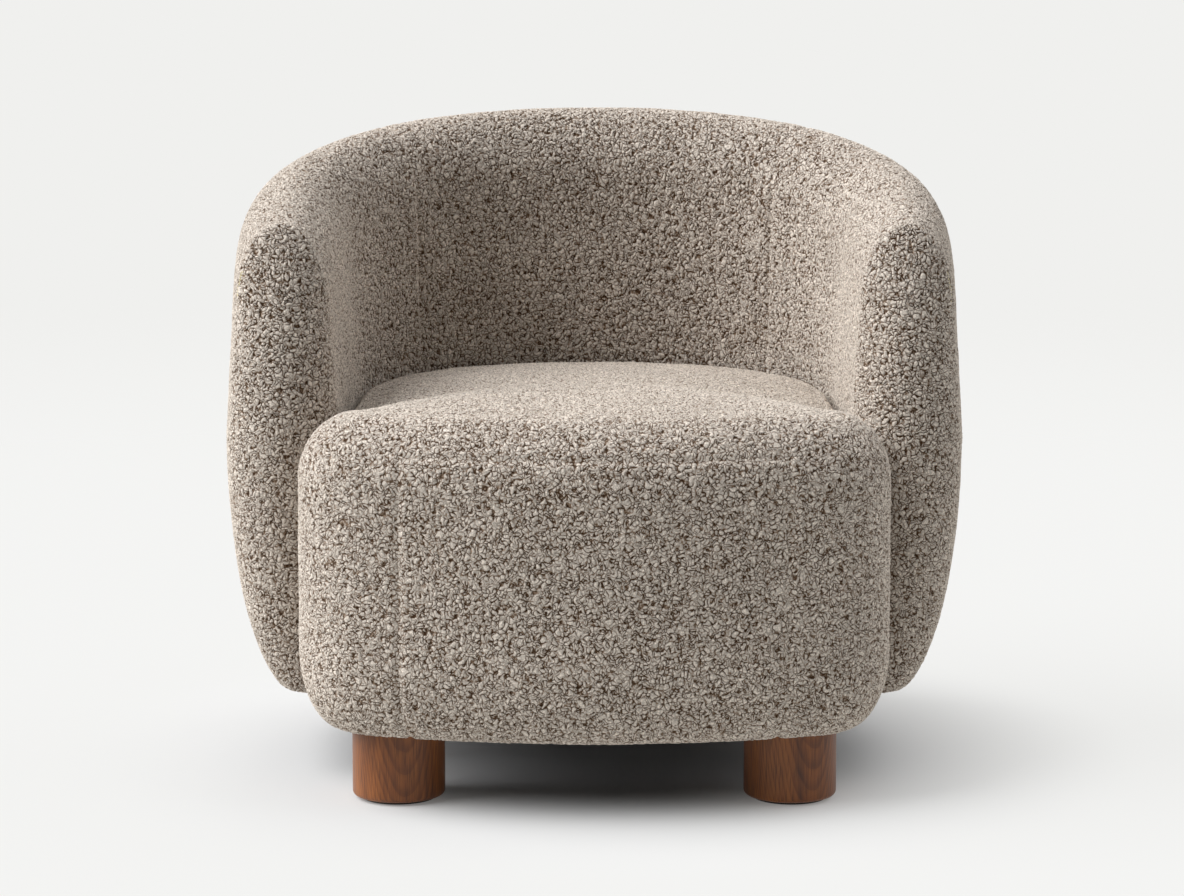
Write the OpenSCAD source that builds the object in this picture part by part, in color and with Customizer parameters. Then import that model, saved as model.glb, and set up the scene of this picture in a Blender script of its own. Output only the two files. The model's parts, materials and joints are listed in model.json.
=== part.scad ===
// Low round-backed tub chair: an upholstered horseshoe wall of arms and back round a fixed, tight seat,
// on four short round wooden legs. Millimetres. Z is up, the sitter faces -Y, and X runs to the right.
// The origin is on the floor, under the middle of the chair's width and depth.

/* [Overall] */
// Width across the arms
chair_w = 800; // [740:10:860]
// Depth from the front of the seat to the outside of the back
chair_d = 760; // [720:10:820]
// Height of the back
chair_h = 697; // [660:1:740]

/* [Tub wall] */
// Height of the arms at their noses
arm_h = 590; // [560:2:620]
// Thickness of the wall at the sides and back
wall_t = 136; // [128:1:146]
// Width of an arm at its nose
nose_w = 120; // [116:1:130]
// Distance of the noses' fronts behind the seat's front
nose_back = 190; // [175:1:205]
// Share of the depth, from the front, at which the chair is widest
widest_share = 0.513; // [0.49:0.001:0.54]
// Height where the wall is widest
widest_z = 362; // [330:2:400]
// Height of the wall's lower edge
tub_low_z = 88; // [86:0.5:90]
// How far the wall's outside draws in towards its lower edge
tuck = 66; // [60:1:74]
// How far the wall's faces lean in towards the top roll
lean = 9; // [4:0.5:12]
// Height of the round roll along the top of the wall
roll_h = 88; // [78:1:94]
// How far the top of each nose stands back from its front
nose_slope = 34; // [20:1:38]
// How far each arm turns in from its widest place to its nose
toe_in = 2; // [1:1:12]

/* [Seat] */
// Distance of the seat's sides, in front of the arms, inside the chair's sides
seat_side_in = 94; // [86:1:105]
// Height of the seat's crown
seat_h = 415; // [405:1:430]
// Height of the seat's lowest edge
seat_low_z = 75; // [72:0.5:78]
// Radius of the seat's front in plan
seat_front_r = 700; // [600:10:900]
// Radius of the seat's front corners in plan
seat_corner_r = 100; // [90:1:106]
// Height of the seam along the seat's front
seam_z = 370; // [360:1:376]
// Distance of the two upright front seams inside the seat's sides
seam_side_in = 109; // [96:1:126]
// How far the front edge rolls back over the top
over_in = 62; // [52:1:68]
// How far the edge rolls back underneath
under_in = 44; // [40:1:45]
// Height of the roll underneath
under_h = 84; // [70:1:100]

/* [Cover and padding] */
// Thickness of the fabric cover with its pile
cover_t = 2.5; // [2:0.1:3]
// Slack between soft layers
slack = 0.3; // [0.2:0.05:0.4]
// Slack between the seat and the inside of the wall
seat_slack = 0.6; // [0.4:0.1:1.2]
// Thickness of the front border padding
border_t = 42; // [38:1:43]

/* [Frame] */
// Thickness of the plywood
ply_t = 18; // [15:1:20]
// Height of the base panel's underside, where the legs end
base_z = 94; // [92.5:0.5:95]
// Height of the deck rails' upper face
deck_z = 300; // [280:2:310]
// Thickness of the skin boards
board_t = 3.2; // [2.5:0.1:4]
// Thickness of the tub's uprights
upright_t = 25; // [22:1:28]
// Width of the tub's uprights
upright_w = 45; // [36:1:50]
// Side of the square seat posts
post_w = 30; // [24:1:34]
// Width of the webbing straps
strap_w = 50; // [40:1:52]
// Thickness of the webbing straps
strap_t = 2; // [1.5:0.1:2.4]

/* [Legs] */
// Diameter of the legs
leg_d = 96; // [84:1:96]
// Distance of the front legs' centres inside the chair's sides
front_leg_side_in = 197; // [196:1:208]
// Distance of the front legs' centres behind the seat's front edge
front_leg_back = 107; // [104:1:125]
// Distance of the rear legs' centres inside the wall's middle line
rear_leg_in = 120; // [118:1:140]
// Radius of the round along a leg's lower edge
leg_round = 5; // [3:0.5:8]
// Thickness of the glides under the legs
glide_t = 3; // [2:0.5:4]
// Diameter of the glides
glide_d = 76; // [60:1:80]
// Diameter of the leg bolts
bolt_d = 8; // [6:1:10]
// Diameter of the frame screws
screw_d = 5; // [4:0.5:6]

/* [Hidden] */
$fn = 64;
overrun = chair_h;

boucle_color = "#b3a591";
foam_color = "#e9dcb0";
ply_color = "#d9b98a";
leg_color = "#7b4a2b";
board_color = "#8f6f4d";
strap_color = "#3c3c3e";
steel_color = "#b9bcc0";
dust_color = "#2b2a29";

// The wall's middle line in plan
mid_w = (chair_w - wall_t) / 2;
mid_back_y = (chair_d - wall_t) / 2;
mid_front_y = nose_back - chair_d / 2 + nose_w / 2;
widest_y = chair_d * (widest_share - 0.5);
arm_steps = 2;
back_steps = 8;
steps = arm_steps + back_steps;
round_power = 2.15;
curve_share = 2 / round_power;
arm_len = widest_y - mid_front_y;
back_len = mid_back_y - widest_y;
// Step at which the upright seams of the inside back stand
back_seam_step = arm_steps + 4;
top_slope = (chair_h - arm_h) / (mid_back_y - mid_front_y);

function back_turn(k) = 90 * (k - arm_steps) / back_steps;
function arm_y(k) = mid_front_y + arm_len * k / arm_steps;
function arm_x(y) = mid_w - toe_in * pow((widest_y - y) / arm_len, 2);
function mid_point(k) = k < arm_steps ? [arm_x(arm_y(k)), arm_y(k)]
    : [mid_w * pow(cos(back_turn(k)), curve_share),
       widest_y + back_len * pow(sin(back_turn(k)), curve_share)];
function mid_normal(k) = let(n = k < arm_steps
    ? [1, -2 * toe_in * (widest_y - arm_y(k)) / pow(arm_len, 2)]
    : [back_len * pow(cos(back_turn(k)), 2 - curve_share),
       mid_w * pow(sin(back_turn(k)), 2 - curve_share)]) n / norm(n);
function half_t(k) = k < arm_steps ? (nose_w + (wall_t - nose_w) * k / arm_steps) / 2 : wall_t / 2;
function beside(k, u) = mid_point(k) + u * mid_normal(k);
function lift(p, z) = [p[0], p[1], z];
function flat(p) = [p[0], p[1]];
function flip(p) = len(p) == 3 ? [-p[0], p[1], p[2]] : [-p[0], p[1]];
function reversed(a) = [for (i = [len(a) - 1:-1:0]) a[i]];
function top_at(y) = chair_h - top_slope * (mid_back_y - y);

// Cross-section of the wall, from the outer lower edge over the roll to the inner lower edge
base_top = base_z + ply_t;
low_turns = [90, 75, 57, 38, 19];
roll_turns = [for (a = [0:30:180]) a];
function side_u(z, h, d, roll_z) = h - d - lean * max(0, (z - widest_z) / (roll_z - widest_z));
function outer_u(z, h, d, roll_z) = z < widest_z
    ? h - d - tuck * (1 - sqrt(max(0, 1 - pow((widest_z - z) / (widest_z - tub_low_z - d), 2))))
    : side_u(z, h, d, roll_z);
function section(h, top, d) = let(roll_z = top - roll_h, r = h - d - lean) concat(
    [for (b = low_turns) [h - d - tuck * (1 - cos(b)), widest_z - (widest_z - tub_low_z - d) * sin(b)]],
    [[h - d, widest_z]],
    [for (a = roll_turns) [r * cos(a), roll_z + (roll_h - d) * sin(a)]],
    [for (b = concat([0], reversed(low_turns))) [d - h, widest_z - (widest_z - base_top - slack) * sin(b)]]);
// Along the path, then round the nose: turn runs from 0 at the nose's middle to 90 at its front
nose_turns = [72, 48, 24];
function nose_ring(turn, d) = let(h = half_t(0), top = top_at(mid_front_y), roll_z = top - roll_h)
    [for (p = section(h, top, d)) let(
        at = min(p[1], roll_z),
        out = outer_u(at, h, d, roll_z),
        in = side_u(at, h, d, roll_z),
        c = (out - in) / 2,
        w = (out + in) / 2,
        u = c + (p[0] - c) * cos(turn),
        z = p[1] > roll_z ? roll_z + (p[1] - roll_z) * cos(turn) : p[1],
        slope = nose_slope * pow(max(0, (z - widest_z) / (top - widest_z)), 2))
        lift(beside(0, u) + (w - slope) * sin(turn) * [mid_normal(0)[1], -mid_normal(0)[0]], z)];
function wall_ring(k, d) = [for (p = section(half_t(k), top_at(mid_point(k)[1]), d))
    lift(beside(k, p[0]), p[1])];

// Sides of the wooden core within the wall, as distances out from the middle line
core_in = 30;
core_out = 40;
core_front = 10;
rail_out = 8;
panel_edge = -12;
skin_low_z = 215;
rail_drop = 52;
// Rise of the padding's hollow over the top rail
core_arch = 4;
strip_in = -core_in - slack - board_t;
strip_out = core_out + slack + board_t;
function rail_top(y) = top_at(y) - rail_drop;
function core_ring(k, forward) = let(
    ahead = forward * [mid_normal(k)[1], -mid_normal(k)[0]],
    low = [[panel_edge + slack, base_z - slack], [panel_edge + slack, base_top - slack],
        [rail_out + slack, base_top - slack], [rail_out + slack, base_top + ply_t + slack],
        [strip_out + slack, skin_low_z], [strip_out + slack, widest_z]],
    over = [for (a = roll_turns) [strip_out + slack + (strip_in - strip_out - 2 * slack) * a / 180,
        slack + core_arch * sin(a)]],
    inner = strip_in - slack)
    concat([for (p = low) lift(beside(k, p[0]) + ahead, p[1])],
        [for (o = over) let(p = beside(k, o[0]) + ahead) lift(p, rail_top(p[1]) + o[1])],
        [for (b = concat([0], reversed(low_turns)))
            lift(beside(k, inner) + ahead, widest_z - (widest_z - base_top - slack) * sin(b))]);

// A layer between two grids of points. face[i][j] is its outer side and back[i][j] its inner side.
// closed joins the last row to the first, and nose closes the first row like the end of a sock.
module layer(face, back, closed = false, nose = false, lid = false, keep = function(i, j) true) {
    rows = len(face);
    cols = len(face[0]);
    last = closed ? rows - 1 : rows - 2;
    at = function(s, i, j) (s * rows + i % rows) * cols + j;
    has = function(i, j) (closed || (i >= 0 && i <= last)) && j >= 0 && j < cols - 1
        && keep((i + rows) % rows, j);
    quads = [for (i = [0:last], j = [0:cols - 2]) if (has(i, j)) each [
        [at(0, i, j), at(0, i, j + 1), at(0, i + 1, j + 1), at(0, i + 1, j)],
        [at(1, i, j), at(1, i + 1, j), at(1, i + 1, j + 1), at(1, i, j + 1)],
        if (!has(i - 1, j) && !(nose && i == 0))
            [at(0, i, j + 1), at(0, i, j), at(1, i, j), at(1, i, j + 1)],
        if (!has(i + 1, j)) [at(0, i + 1, j + 1), at(1, i + 1, j + 1), at(1, i + 1, j), at(0, i + 1, j)],
        if (!has(i, j - 1)) [at(0, i + 1, j), at(1, i + 1, j), at(1, i, j), at(0, i, j)],
        if (!has(i, j + 1) && !(lid && j == cols - 2))
            [at(0, i + 1, j + 1), at(0, i, j + 1), at(1, i, j + 1), at(1, i + 1, j + 1)]]];
    mid = (cols - 1) / 2;
    sock = nose ? concat(
        [for (j = [0:mid - 2]) each [
            [at(0, 0, j), at(0, 0, cols - 1 - j), at(0, 0, cols - 2 - j), at(0, 0, j + 1)],
            [at(1, 0, j), at(1, 0, j + 1), at(1, 0, cols - 2 - j), at(1, 0, cols - 1 - j)]]],
        [[at(0, 0, cols - 1), at(0, 0, 0), at(1, 0, 0), at(1, 0, cols - 1)]]) : [];
    tips = nose ? [[at(0, 0, mid - 1), at(0, 0, mid + 1), at(0, 0, mid)],
        [at(1, 0, mid - 1), at(1, 0, mid), at(1, 0, mid + 1)]] : [];
    lids = lid ? [[for (i = [rows - 1:-1:0]) at(0, i, cols - 1)], [for (i = [0:rows - 1]) at(1, i, cols - 1)]]
        : [];
    polyhedron(
        points = [for (grid = [face, back], row = grid, p = row) p],
        faces = concat([for (q = concat(quads, sock)) each [[q[0], q[1], q[2]], [q[0], q[2], q[3]]]],
            tips, lids));
}

// Closed body made of flat rings of points stacked upwards
module stack(rings) {
    n = len(rings[0]);
    m = len(rings);
    walls = [for (r = [0:m - 2], i = [0:n - 1]) let(
        a = r * n + i, b = r * n + (i + 1) % n, c = a + n, d = b + n) each [[a, c, d], [a, d, b]]];
    polyhedron(
        points = [for (ring = rings, p = ring) p],
        faces = concat(walls, [[for (i = [0:n - 1]) i], [for (i = [n - 1:-1:0]) (m - 1) * n + i]]));
}

// Plan outline of the seat at a distance inside its finished edge, as one half from front to back
front_cy = seat_front_r - chair_d / 2;
seat_w = chair_w - 2 * seat_side_in;
corner_turn = asin((seat_w / 2 - seat_corner_r) / (seat_front_r - seat_corner_r));
corner_c = [seat_w / 2 - seat_corner_r, front_cy - (seat_front_r - seat_corner_r) * cos(corner_turn)];
seam_turn = asin((seat_w / 2 - seam_side_in) / seat_front_r);
front_turns = [0, seam_turn / 2, seam_turn];
corner_end = 36;
corner_cells = 5;
corner_turns = [for (i = [0:corner_cells])
    corner_turn - 90 + (90 + corner_end - corner_turn) * i / corner_cells];
nose_lean = atan2(mid_normal(0)[1], mid_normal(0)[0]);
tuck_turns = [48, 24];
function on_circle(c, r, a) = c + r * [cos(a), sin(a)];
function seat_half(inset) = concat(
    [for (a = front_turns) on_circle([0, front_cy], seat_front_r - inset, a - 90)],
    [for (a = corner_turns) on_circle(corner_c, seat_corner_r - inset, a)],
    [for (a = tuck_turns) on_circle(mid_point(0), nose_w / 2 + seat_slack + inset, 180 + nose_lean + a)],
    [for (k = [0:steps]) beside(k, -half_t(k) - seat_slack - inset)]);
half_count = len(seat_half(0));
front_count = len(front_turns) + len(corner_turns);
function mirrored(half) = concat(half, [for (i = [len(half) - 2:-1:1]) flip(half[i])]);
function seat_outline(inset) = mirrored(seat_half(inset));

// Rows of the seat's skin from its hem to its crown, as [distance inside the edge, height]
wall_over_in = 16;
wall_over_h = 28;
wall_edge_z = 386;
// Rise of the seat's edge along the wall, from the noses to the back
wall_edge_rise = 20;
front_edge_z = 405;
front_round_z = 2 * seam_z - front_edge_z;
hem_in = 1;
hem_up = 7;
under_turns = [90, 68, 45, 22, 0];
over_turns = [0, 30, 55, 80];
ring_shares = [0.7, 0.35];
crown_shares = [0.55, 1];
// Distance of the seat's highest point behind its front
crown_back = 315;
seat_centre = [0, crown_back - chair_d / 2];
skirt_rows = len(under_turns) + 1;
function front_row(r, d) = r == 0 ? [under_in + hem_in, seat_low_z + hem_up + d]
    : r < skirt_rows ? [d + (under_in - d) * (1 - cos(under_turns[r - 1])),
                        seat_low_z + under_h - (under_h - d) * sin(under_turns[r - 1])]
    : [d + (over_in - d) * (1 - cos(over_turns[r - skirt_rows])),
       front_round_z + (front_edge_z - d - front_round_z) * sin(over_turns[r - skirt_rows])];
function wall_edge(i) = wall_edge_z + wall_edge_rise * (seat_half(0)[i][1] - mid_front_y)
    / (mid_back_y - mid_front_y);
function wall_row(i, r, d) = let(low = base_top + slack, round_z = wall_edge(i) - wall_over_h) r < skirt_rows
    ? [d, low + (round_z - low) * r / skirt_rows]
    : [d + (wall_over_in - d) * (1 - cos(over_turns[r - skirt_rows])),
       round_z + (wall_over_h - d) * sin(over_turns[r - skirt_rows])];
// 1 where the seat shows in front of the arms and 0 where it meets the wall
function front_share(i) = i < front_count - 1 ? 1 : i < front_count + len(tuck_turns) - 1 ? 0.5 : 0;
function seat_point(i, row, wall) = let(f = front_share(i))
    lift(seat_half(f * row[0] + (1 - f) * wall[0])[i], f * row[1] + (1 - f) * wall[1]);
function seat_column(i, d) = let(
    skin = [for (r = [0:skirt_rows + len(over_turns) - 1]) seat_point(i, front_row(r, d), wall_row(i, r, d))],
    rim = skin[len(skin) - 1])
    concat(skin, [for (r = [0, 1]) lift(seat_centre + (flat(rim) - seat_centre) * ring_shares[r],
        rim[2] + (seat_h - d - rim[2]) * crown_shares[r])]);
function seat_grid(d) = let(half = [for (i = [0:half_count - 1]) seat_column(i, d)])
    concat(half, [for (i = [half_count - 2:-1:1]) [for (p = half[i]) flip(p)]]);
outline_count = 2 * half_count - 2;
seam_cells = len(front_turns) - 1;
in_front_panel = function(i, j) (i < seam_cells || i >= outline_count - seam_cells) && j <= skirt_rows;

// Heights of the deck
deck_gap = 3.5;
foam_z = deck_z + deck_gap;
foam_d = cover_t + slack;

// Woven straps: the long ones lie a ramp's room apart, the cross ones about the deck's middle
weave = (strap_t + slack) / 2;
weave_ramp = 10;
long_straps = 4;
long_strap_pitch = strap_w + 2 * weave_ramp;
long_strap_x = [for (i = [0:long_straps - 1]) (i - (long_straps - 1) / 2) * long_strap_pitch];

// Fasteners
bolt_in_leg = 45;
pad_t = 25;
pad_d = 84;
nut_d = 22;
nut_barrel_d = 11;
nut_flange_t = 1.6;
nut_barrel = 9;
screw_grip = 40;
screw_head_d = 10;
screw_head_t = 3;
dust_t = 0.8;
dust_edge = 3;
front_post_step = 1;
side_post_step = 1;
rear_post_step = steps - 1;
rail_w = 50;
rail_gap = 1;
rail_inset = border_t + rail_gap;
post_inset = rail_inset + rail_w / 2;
upright_steps = [0, 3, back_seam_step, steps];

sides = [1, -1];
front_leg_x = chair_w / 2 - front_leg_side_in;
front_leg = [front_leg_x, front_edge_y(front_leg_x, 0) + front_leg_back];
rear_leg = beside(back_seam_step, -rear_leg_in);
leg_places = [flip(front_leg), front_leg, flip(rear_leg), rear_leg];

// Outlines in plan
function wall_path(u, from = 0) = let(half = [for (k = [from:steps]) beside(k, u)])
    concat(half, [for (i = [len(half) - 2:-1:0]) flip(half[i])]);
function wall_strip(u0, u1) = concat(wall_path(u1), reversed(wall_path(u0)));
module wall_plate(u0, u1, z, t) translate([0, 0, z]) linear_extrude(t) polygon(wall_strip(u0, u1));
// Everything under a plane that rises backwards with the wall's top, this far below that top
module under_top(drop) translate([0, mid_back_y, chair_h - drop]) rotate([atan(top_slope), 0, 0])
    translate([-chair_w, -2 * chair_d, -2 * chair_h]) cube([2 * chair_w, 3 * chair_d, 2 * chair_h]);
module at_wall(k, side = 1) mirror([side < 0 ? 1 : 0, 0, 0]) translate(lift(mid_point(k), 0))
    rotate([0, 0, atan2(mid_normal(k)[1], mid_normal(k)[0])]) children();
// The nose upright lies along the first straight length of the path, behind its end
nose_chord = mid_point(1) - mid_point(0);
module at_upright(k, side) if (k == 0)
    mirror([side < 0 ? 1 : 0, 0, 0]) translate(lift(mid_point(0), 0))
        rotate([0, 0, atan2(nose_chord[1], nose_chord[0]) - 90]) translate([0, upright_w / 2, 0]) children();
    else at_wall(k, side) children();
module each_upright() for (k = upright_steps, side = k == steps ? [1] : sides) at_upright(k, side) children();
module at_seat_edge(i, side, inset) let(p = seat_half(inset)[i], q = seat_half(0)[i], n = q - p)
    mirror([side < 0 ? 1 : 0, 0, 0]) translate(lift(p, 0)) rotate([0, 0, atan2(n[1], n[0])]) children();
seat_post_steps = [front_post_step, front_count + len(tuck_turns) + side_post_step,
    front_count + len(tuck_turns) + rear_post_step];
module each_post() for (i = seat_post_steps, side = sides) at_seat_edge(i, side, post_inset) children();

module leg(place) color(leg_color) translate(lift(leg_places[place], 0)) difference() {
    rotate_extrude() polygon(concat(
        [[0, glide_t]],
        [for (a = [0:22.5:90]) [leg_d / 2 - leg_round * (1 - sin(a)), glide_t + leg_round * (1 - cos(a))]],
        [[leg_d / 2, base_z], [0, base_z]]));
    translate([0, 0, base_z - bolt_in_leg - slack]) cylinder(h = bolt_in_leg + overrun, d = bolt_d + 2 * slack);
}
module glide(place) color(board_color) translate(leg_places[place]) cylinder(h = glide_t, d = glide_d);
module leg_pad(place) color(ply_color) translate(lift(leg_places[place], base_top)) difference() {
    cylinder(h = pad_t, d = pad_d);
    translate([0, 0, -overrun]) cylinder(h = 2 * overrun, d = bolt_d + 2 * slack);
    translate([0, 0, pad_t - nut_barrel - slack]) cylinder(h = overrun, d = nut_barrel_d + 2 * slack);
}
module leg_bolts() color(steel_color) for (p = leg_places) translate(lift(p, base_z - bolt_in_leg))
    cylinder(h = bolt_in_leg + ply_t + pad_t, d = bolt_d);
module tee_nuts() color(steel_color) for (p = leg_places) translate(lift(p, base_top + pad_t)) difference() {
    union() {
        cylinder(h = nut_flange_t, d = nut_d);
        translate([0, 0, -nut_barrel]) cylinder(h = nut_barrel, d = nut_barrel_d);
    }
    translate([0, 0, -overrun]) cylinder(h = 2 * overrun, d = bolt_d + 2 * slack);
}
module screw(through, fit = 0) translate([0, 0, base_z - fit]) {
    cylinder(h = through + screw_grip + 2 * fit, d = screw_d + 2 * fit);
    cylinder(h = screw_head_t + 2 * fit, d = screw_head_d + 2 * fit);
}
module upright_screws(fit = 0) each_upright() translate([upright_t / 2 - core_in, 0, 0]) screw(2 * ply_t, fit);
module post_screws(fit = 0) each_post() screw(ply_t, fit);
module frame_screws() color(steel_color) {
    upright_screws();
    post_screws();
}
module base_plan(tub_u, seat_inset) {
    polygon(wall_path(tub_u));
    polygon(seat_outline(seat_inset));
}
module base_panel() color(ply_color) difference() {
    translate([0, 0, base_z]) linear_extrude(ply_t) base_plan(panel_edge, border_t);
    for (p = leg_places) translate(p) cylinder(h = overrun, d = bolt_d + 2 * slack);
    upright_screws(slack);
    post_screws(slack);
}
module dust_cover() color(dust_color) translate([0, 0, base_z - dust_t]) linear_extrude(dust_t) difference() {
    base_plan(panel_edge - dust_edge, under_in + hem_in + dust_edge);
    for (p = leg_places) translate(p) circle(d = leg_d + 2 * slack);
}

module seat_post(step, side) color(ply_color) difference() {
    at_seat_edge(seat_post_steps[step], side, post_inset) translate([-post_w / 2, -post_w / 2, base_top])
        cube([post_w, post_w, deck_z - ply_t - base_top]);
    post_screws(slack);
}
module deck_plan(inset, w) difference() {
    polygon(seat_outline(inset));
    polygon(seat_outline(inset + w));
}
// The deck is four rails: front and rear ones across, and one along each side between them
front_rail_ahead = 120;
rear_rail_share = 0.3;
rail_front_y = mid_front_y - front_rail_ahead;
rail_rear_y = widest_y + back_len * rear_rail_share;
module deck_rail(low_y, high_y, low_x, high_x) color(ply_color) translate([0, 0, deck_z - ply_t])
    linear_extrude(ply_t) intersection() {
        deck_plan(rail_inset, rail_w);
        translate([low_x, low_y]) square([high_x - low_x, high_y - low_y]);
    }
module seat_front_board() color(board_color) translate([0, 0, base_top])
    linear_extrude(deck_z - ply_t - base_top) let(
        outer = [for (i = [0:front_count - 2]) seat_half(border_t)[i]],
        inner = [for (i = [0:front_count - 2]) seat_half(border_t + board_t)[i]],
        half = concat(outer, reversed(inner)))
        polygon(concat(outer, reversed(inner), [for (i = [1:len(inner) - 1]) flip(inner[i])],
            [for (i = [len(outer) - 1:-1:1]) flip(outer[i])]));

// One strap along its own x axis, rising and dipping by turns at its crossings
module strap(from, to, crossings, first) let(
    rise = [for (i = [0:len(crossings) - 1]) (i + first) % 2 == 0 ? weave : -weave],
    line = concat([[from, 0]],
        [for (i = [0:len(crossings) - 1], e = [-1, 1], w = e < 0 ? [weave_ramp, 0] : [0, weave_ramp])
            [crossings[i] + e * (strap_w / 2 + w), w == 0 ? rise[i] : 0]],
        [[to, 0]]))
    translate([0, strap_w / 2, deck_z]) rotate([90, 0, 0]) linear_extrude(strap_w)
        polygon(concat(line, [for (p = reversed(line)) p + [0, strap_t]]));
function front_edge_y(x, inset) = front_cy - sqrt(pow(seat_front_r - inset, 2) - x * x);
function rear_edge_y(x, inset) = let(a = mid_w - wall_t / 2 - inset, b = back_len - wall_t / 2 - inset)
    widest_y + b * pow(1 - pow(abs(x) / a, round_power), 1 / round_power);
function side_edge_x(y, inset) = let(a = mid_w - wall_t / 2 - inset, b = back_len - wall_t / 2 - inset)
    y < widest_y ? arm_x(y) - wall_t / 2 - inset
    : a * pow(1 - pow((y - widest_y) / b, round_power), 1 / round_power);
cross_straps = 3;
cross_strap_pitch = 85;
cross_strap_share = 0.547;
cross_middle_y = front_edge_y(0, post_inset)
    + (rear_edge_y(0, post_inset) - front_edge_y(0, post_inset)) * cross_strap_share;
cross_strap_y = [for (j = [0:cross_straps - 1])
    cross_middle_y + (j - (cross_straps - 1) / 2) * cross_strap_pitch];
module long_strap(i) color(strap_color) translate([long_strap_x[i], 0, 0]) rotate([0, 0, 90])
    strap(front_edge_y(long_strap_x[i], post_inset), rear_edge_y(long_strap_x[i], post_inset),
        cross_strap_y, i);
module cross_strap(j) color(strap_color) translate([0, cross_strap_y[j], 0])
    let(x = side_edge_x(cross_strap_y[j], post_inset)) strap(-x, x, long_strap_x, j + 1);

module seat_foam() color(foam_color) let(grid = seat_grid(foam_d)) stack(concat(
    [[for (p = seat_outline(foam_d)) lift(p, foam_z)]],
    [for (r = [skirt_rows:len(grid[0]) - 1]) [for (column = grid) column[r]]]));
module seat_border_foam() color(foam_color) let(
    low = base_z - slack,
    high = foam_z - slack,
    edge = border_t - slack,
    lip = under_in + hem_in,
    back_rise = high - base_top - slack,
    back_rows = concat([[lip, low], [edge, low]],
        [for (i = [0:skirt_rows - 2]) [edge, base_top + slack + back_rise * i / (skirt_rows - 2)]]),
    half_face = [for (i = [0:half_count - 1]) concat(
        [for (r = [0:skirt_rows - 1]) let(f = front_row(r, foam_d))
            seat_point(i, r == 0 ? f + [0, slack] : f, wall_row(i, r, foam_d))],
        [lift(seat_half(foam_d)[i], high)])],
    half_back = [for (i = [0:half_count - 1]) [for (p = back_rows) lift(seat_half(p[0])[i], p[1])]],
    full = function(half) concat(half, [for (i = [half_count - 2:-1:1]) [for (p = half[i]) flip(p)]]))
    layer(full(half_face), full(half_back), closed = true,
        keep = function(i, j) i < front_count || i >= outline_count - front_count);
module seat_cover() color(boucle_color) layer(seat_grid(0), seat_grid(cover_t), closed = true, lid = true,
    keep = function(i, j) !in_front_panel(i, j));
module seat_front_panel() color(boucle_color) layer(seat_grid(0), seat_grid(cover_t), closed = true,
    keep = in_front_panel);

module tub_bottom_rail() color(ply_color) difference() {
    wall_plate(-core_in, rail_out, base_top, ply_t);
    upright_screws(slack);
}
module upright_block(k, side, fit) at_upright(k, side) translate([-core_in - fit, -upright_w / 2 - fit, 0])
    cube([upright_t + 2 * fit, upright_w + 2 * fit, chair_h]);
module tub_middle_rail() color(ply_color) difference() {
    wall_plate(-core_in, core_out, deck_z, ply_t);
    for (k = upright_steps, side = sides) upright_block(k, side, slack);
}
module tub_top_rail() color(ply_color) difference() {
    intersection() {
        wall_plate(-core_in, core_out, 0, chair_h);
        under_top(rail_drop);
    }
    under_top(rail_drop + ply_t);
}
module upright(step, side) color(ply_color) difference() {
    intersection() {
        upright_block(upright_steps[step], side, 0);
        under_top(rail_drop + ply_t);
    }
    translate([-chair_w, -chair_d, -overrun]) cube([2 * chair_w, 2 * chair_d, overrun + base_top + ply_t]);
    upright_screws(slack);
}
module tub_outer_board() color(board_color) intersection() {
    wall_plate(core_out + slack, strip_out, skin_low_z + slack, chair_h);
    under_top(rail_drop);
}
module tub_inner_board() color(board_color) intersection() {
    wall_plate(strip_in, -core_in - slack, base_top + ply_t, chair_h);
    under_top(rail_drop);
}
function arm_faces(d) = concat([for (a = nose_turns) nose_ring(a, d)],
    [for (k = [0:back_seam_step]) wall_ring(k, d)]);
function arm_cores() = concat([for (a = nose_turns) core_ring(0, core_front * sin(a))],
    [for (k = [0:back_seam_step]) core_ring(k, 0)]);
function round_back(half) = concat(half, [for (i = [len(half) - 2:-1:0]) [for (p = half[i]) flip(p)]]);
function back_faces(d) = round_back([for (k = [back_seam_step:steps]) wall_ring(k, d)]);
roll_start = len(low_turns) + 1;
module arm_foam(side) color(foam_color) mirror([side < 0 ? 1 : 0, 0, 0])
    layer(arm_faces(foam_d), arm_cores(), nose = true);
module back_foam() color(foam_color)
    layer(back_faces(foam_d), round_back([for (k = [back_seam_step:steps]) core_ring(k, 0)]));
module arm_cover(side) color(boucle_color) mirror([side < 0 ? 1 : 0, 0, 0])
    layer(arm_faces(0), arm_faces(cover_t), nose = true);
module inside_back_cover() color(boucle_color) layer(back_faces(0), back_faces(cover_t),
    keep = function(i, j) j >= roll_start);
module outside_back_cover() color(boucle_color) layer(back_faces(0), back_faces(cover_t),
    keep = function(i, j) j < roll_start);

leg(0);  // leg_front_left
leg(1);  // leg_front_right
leg(2);  // leg_rear_left
leg(3);  // leg_rear_right
glide(0);  // glide_front_left
glide(1);  // glide_front_right
glide(2);  // glide_rear_left
glide(3);  // glide_rear_right
leg_pad(0);  // leg_pad_front_left
leg_pad(1);  // leg_pad_front_right
leg_pad(2);  // leg_pad_rear_left
leg_pad(3);  // leg_pad_rear_right
leg_bolts();
tee_nuts();
frame_screws();
base_panel();
dust_cover();
seat_post(0, -1);  // seat_post_front_left
seat_post(0, 1);  // seat_post_front_right
seat_post(1, -1);  // seat_post_side_left
seat_post(1, 1);  // seat_post_side_right
seat_post(2, -1);  // seat_post_rear_left
seat_post(2, 1);  // seat_post_rear_right
deck_rail(-chair_d, rail_front_y, -chair_w, chair_w);  // deck_rail_front
deck_rail(rail_front_y, rail_rear_y, -chair_w, 0);  // deck_rail_left
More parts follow.
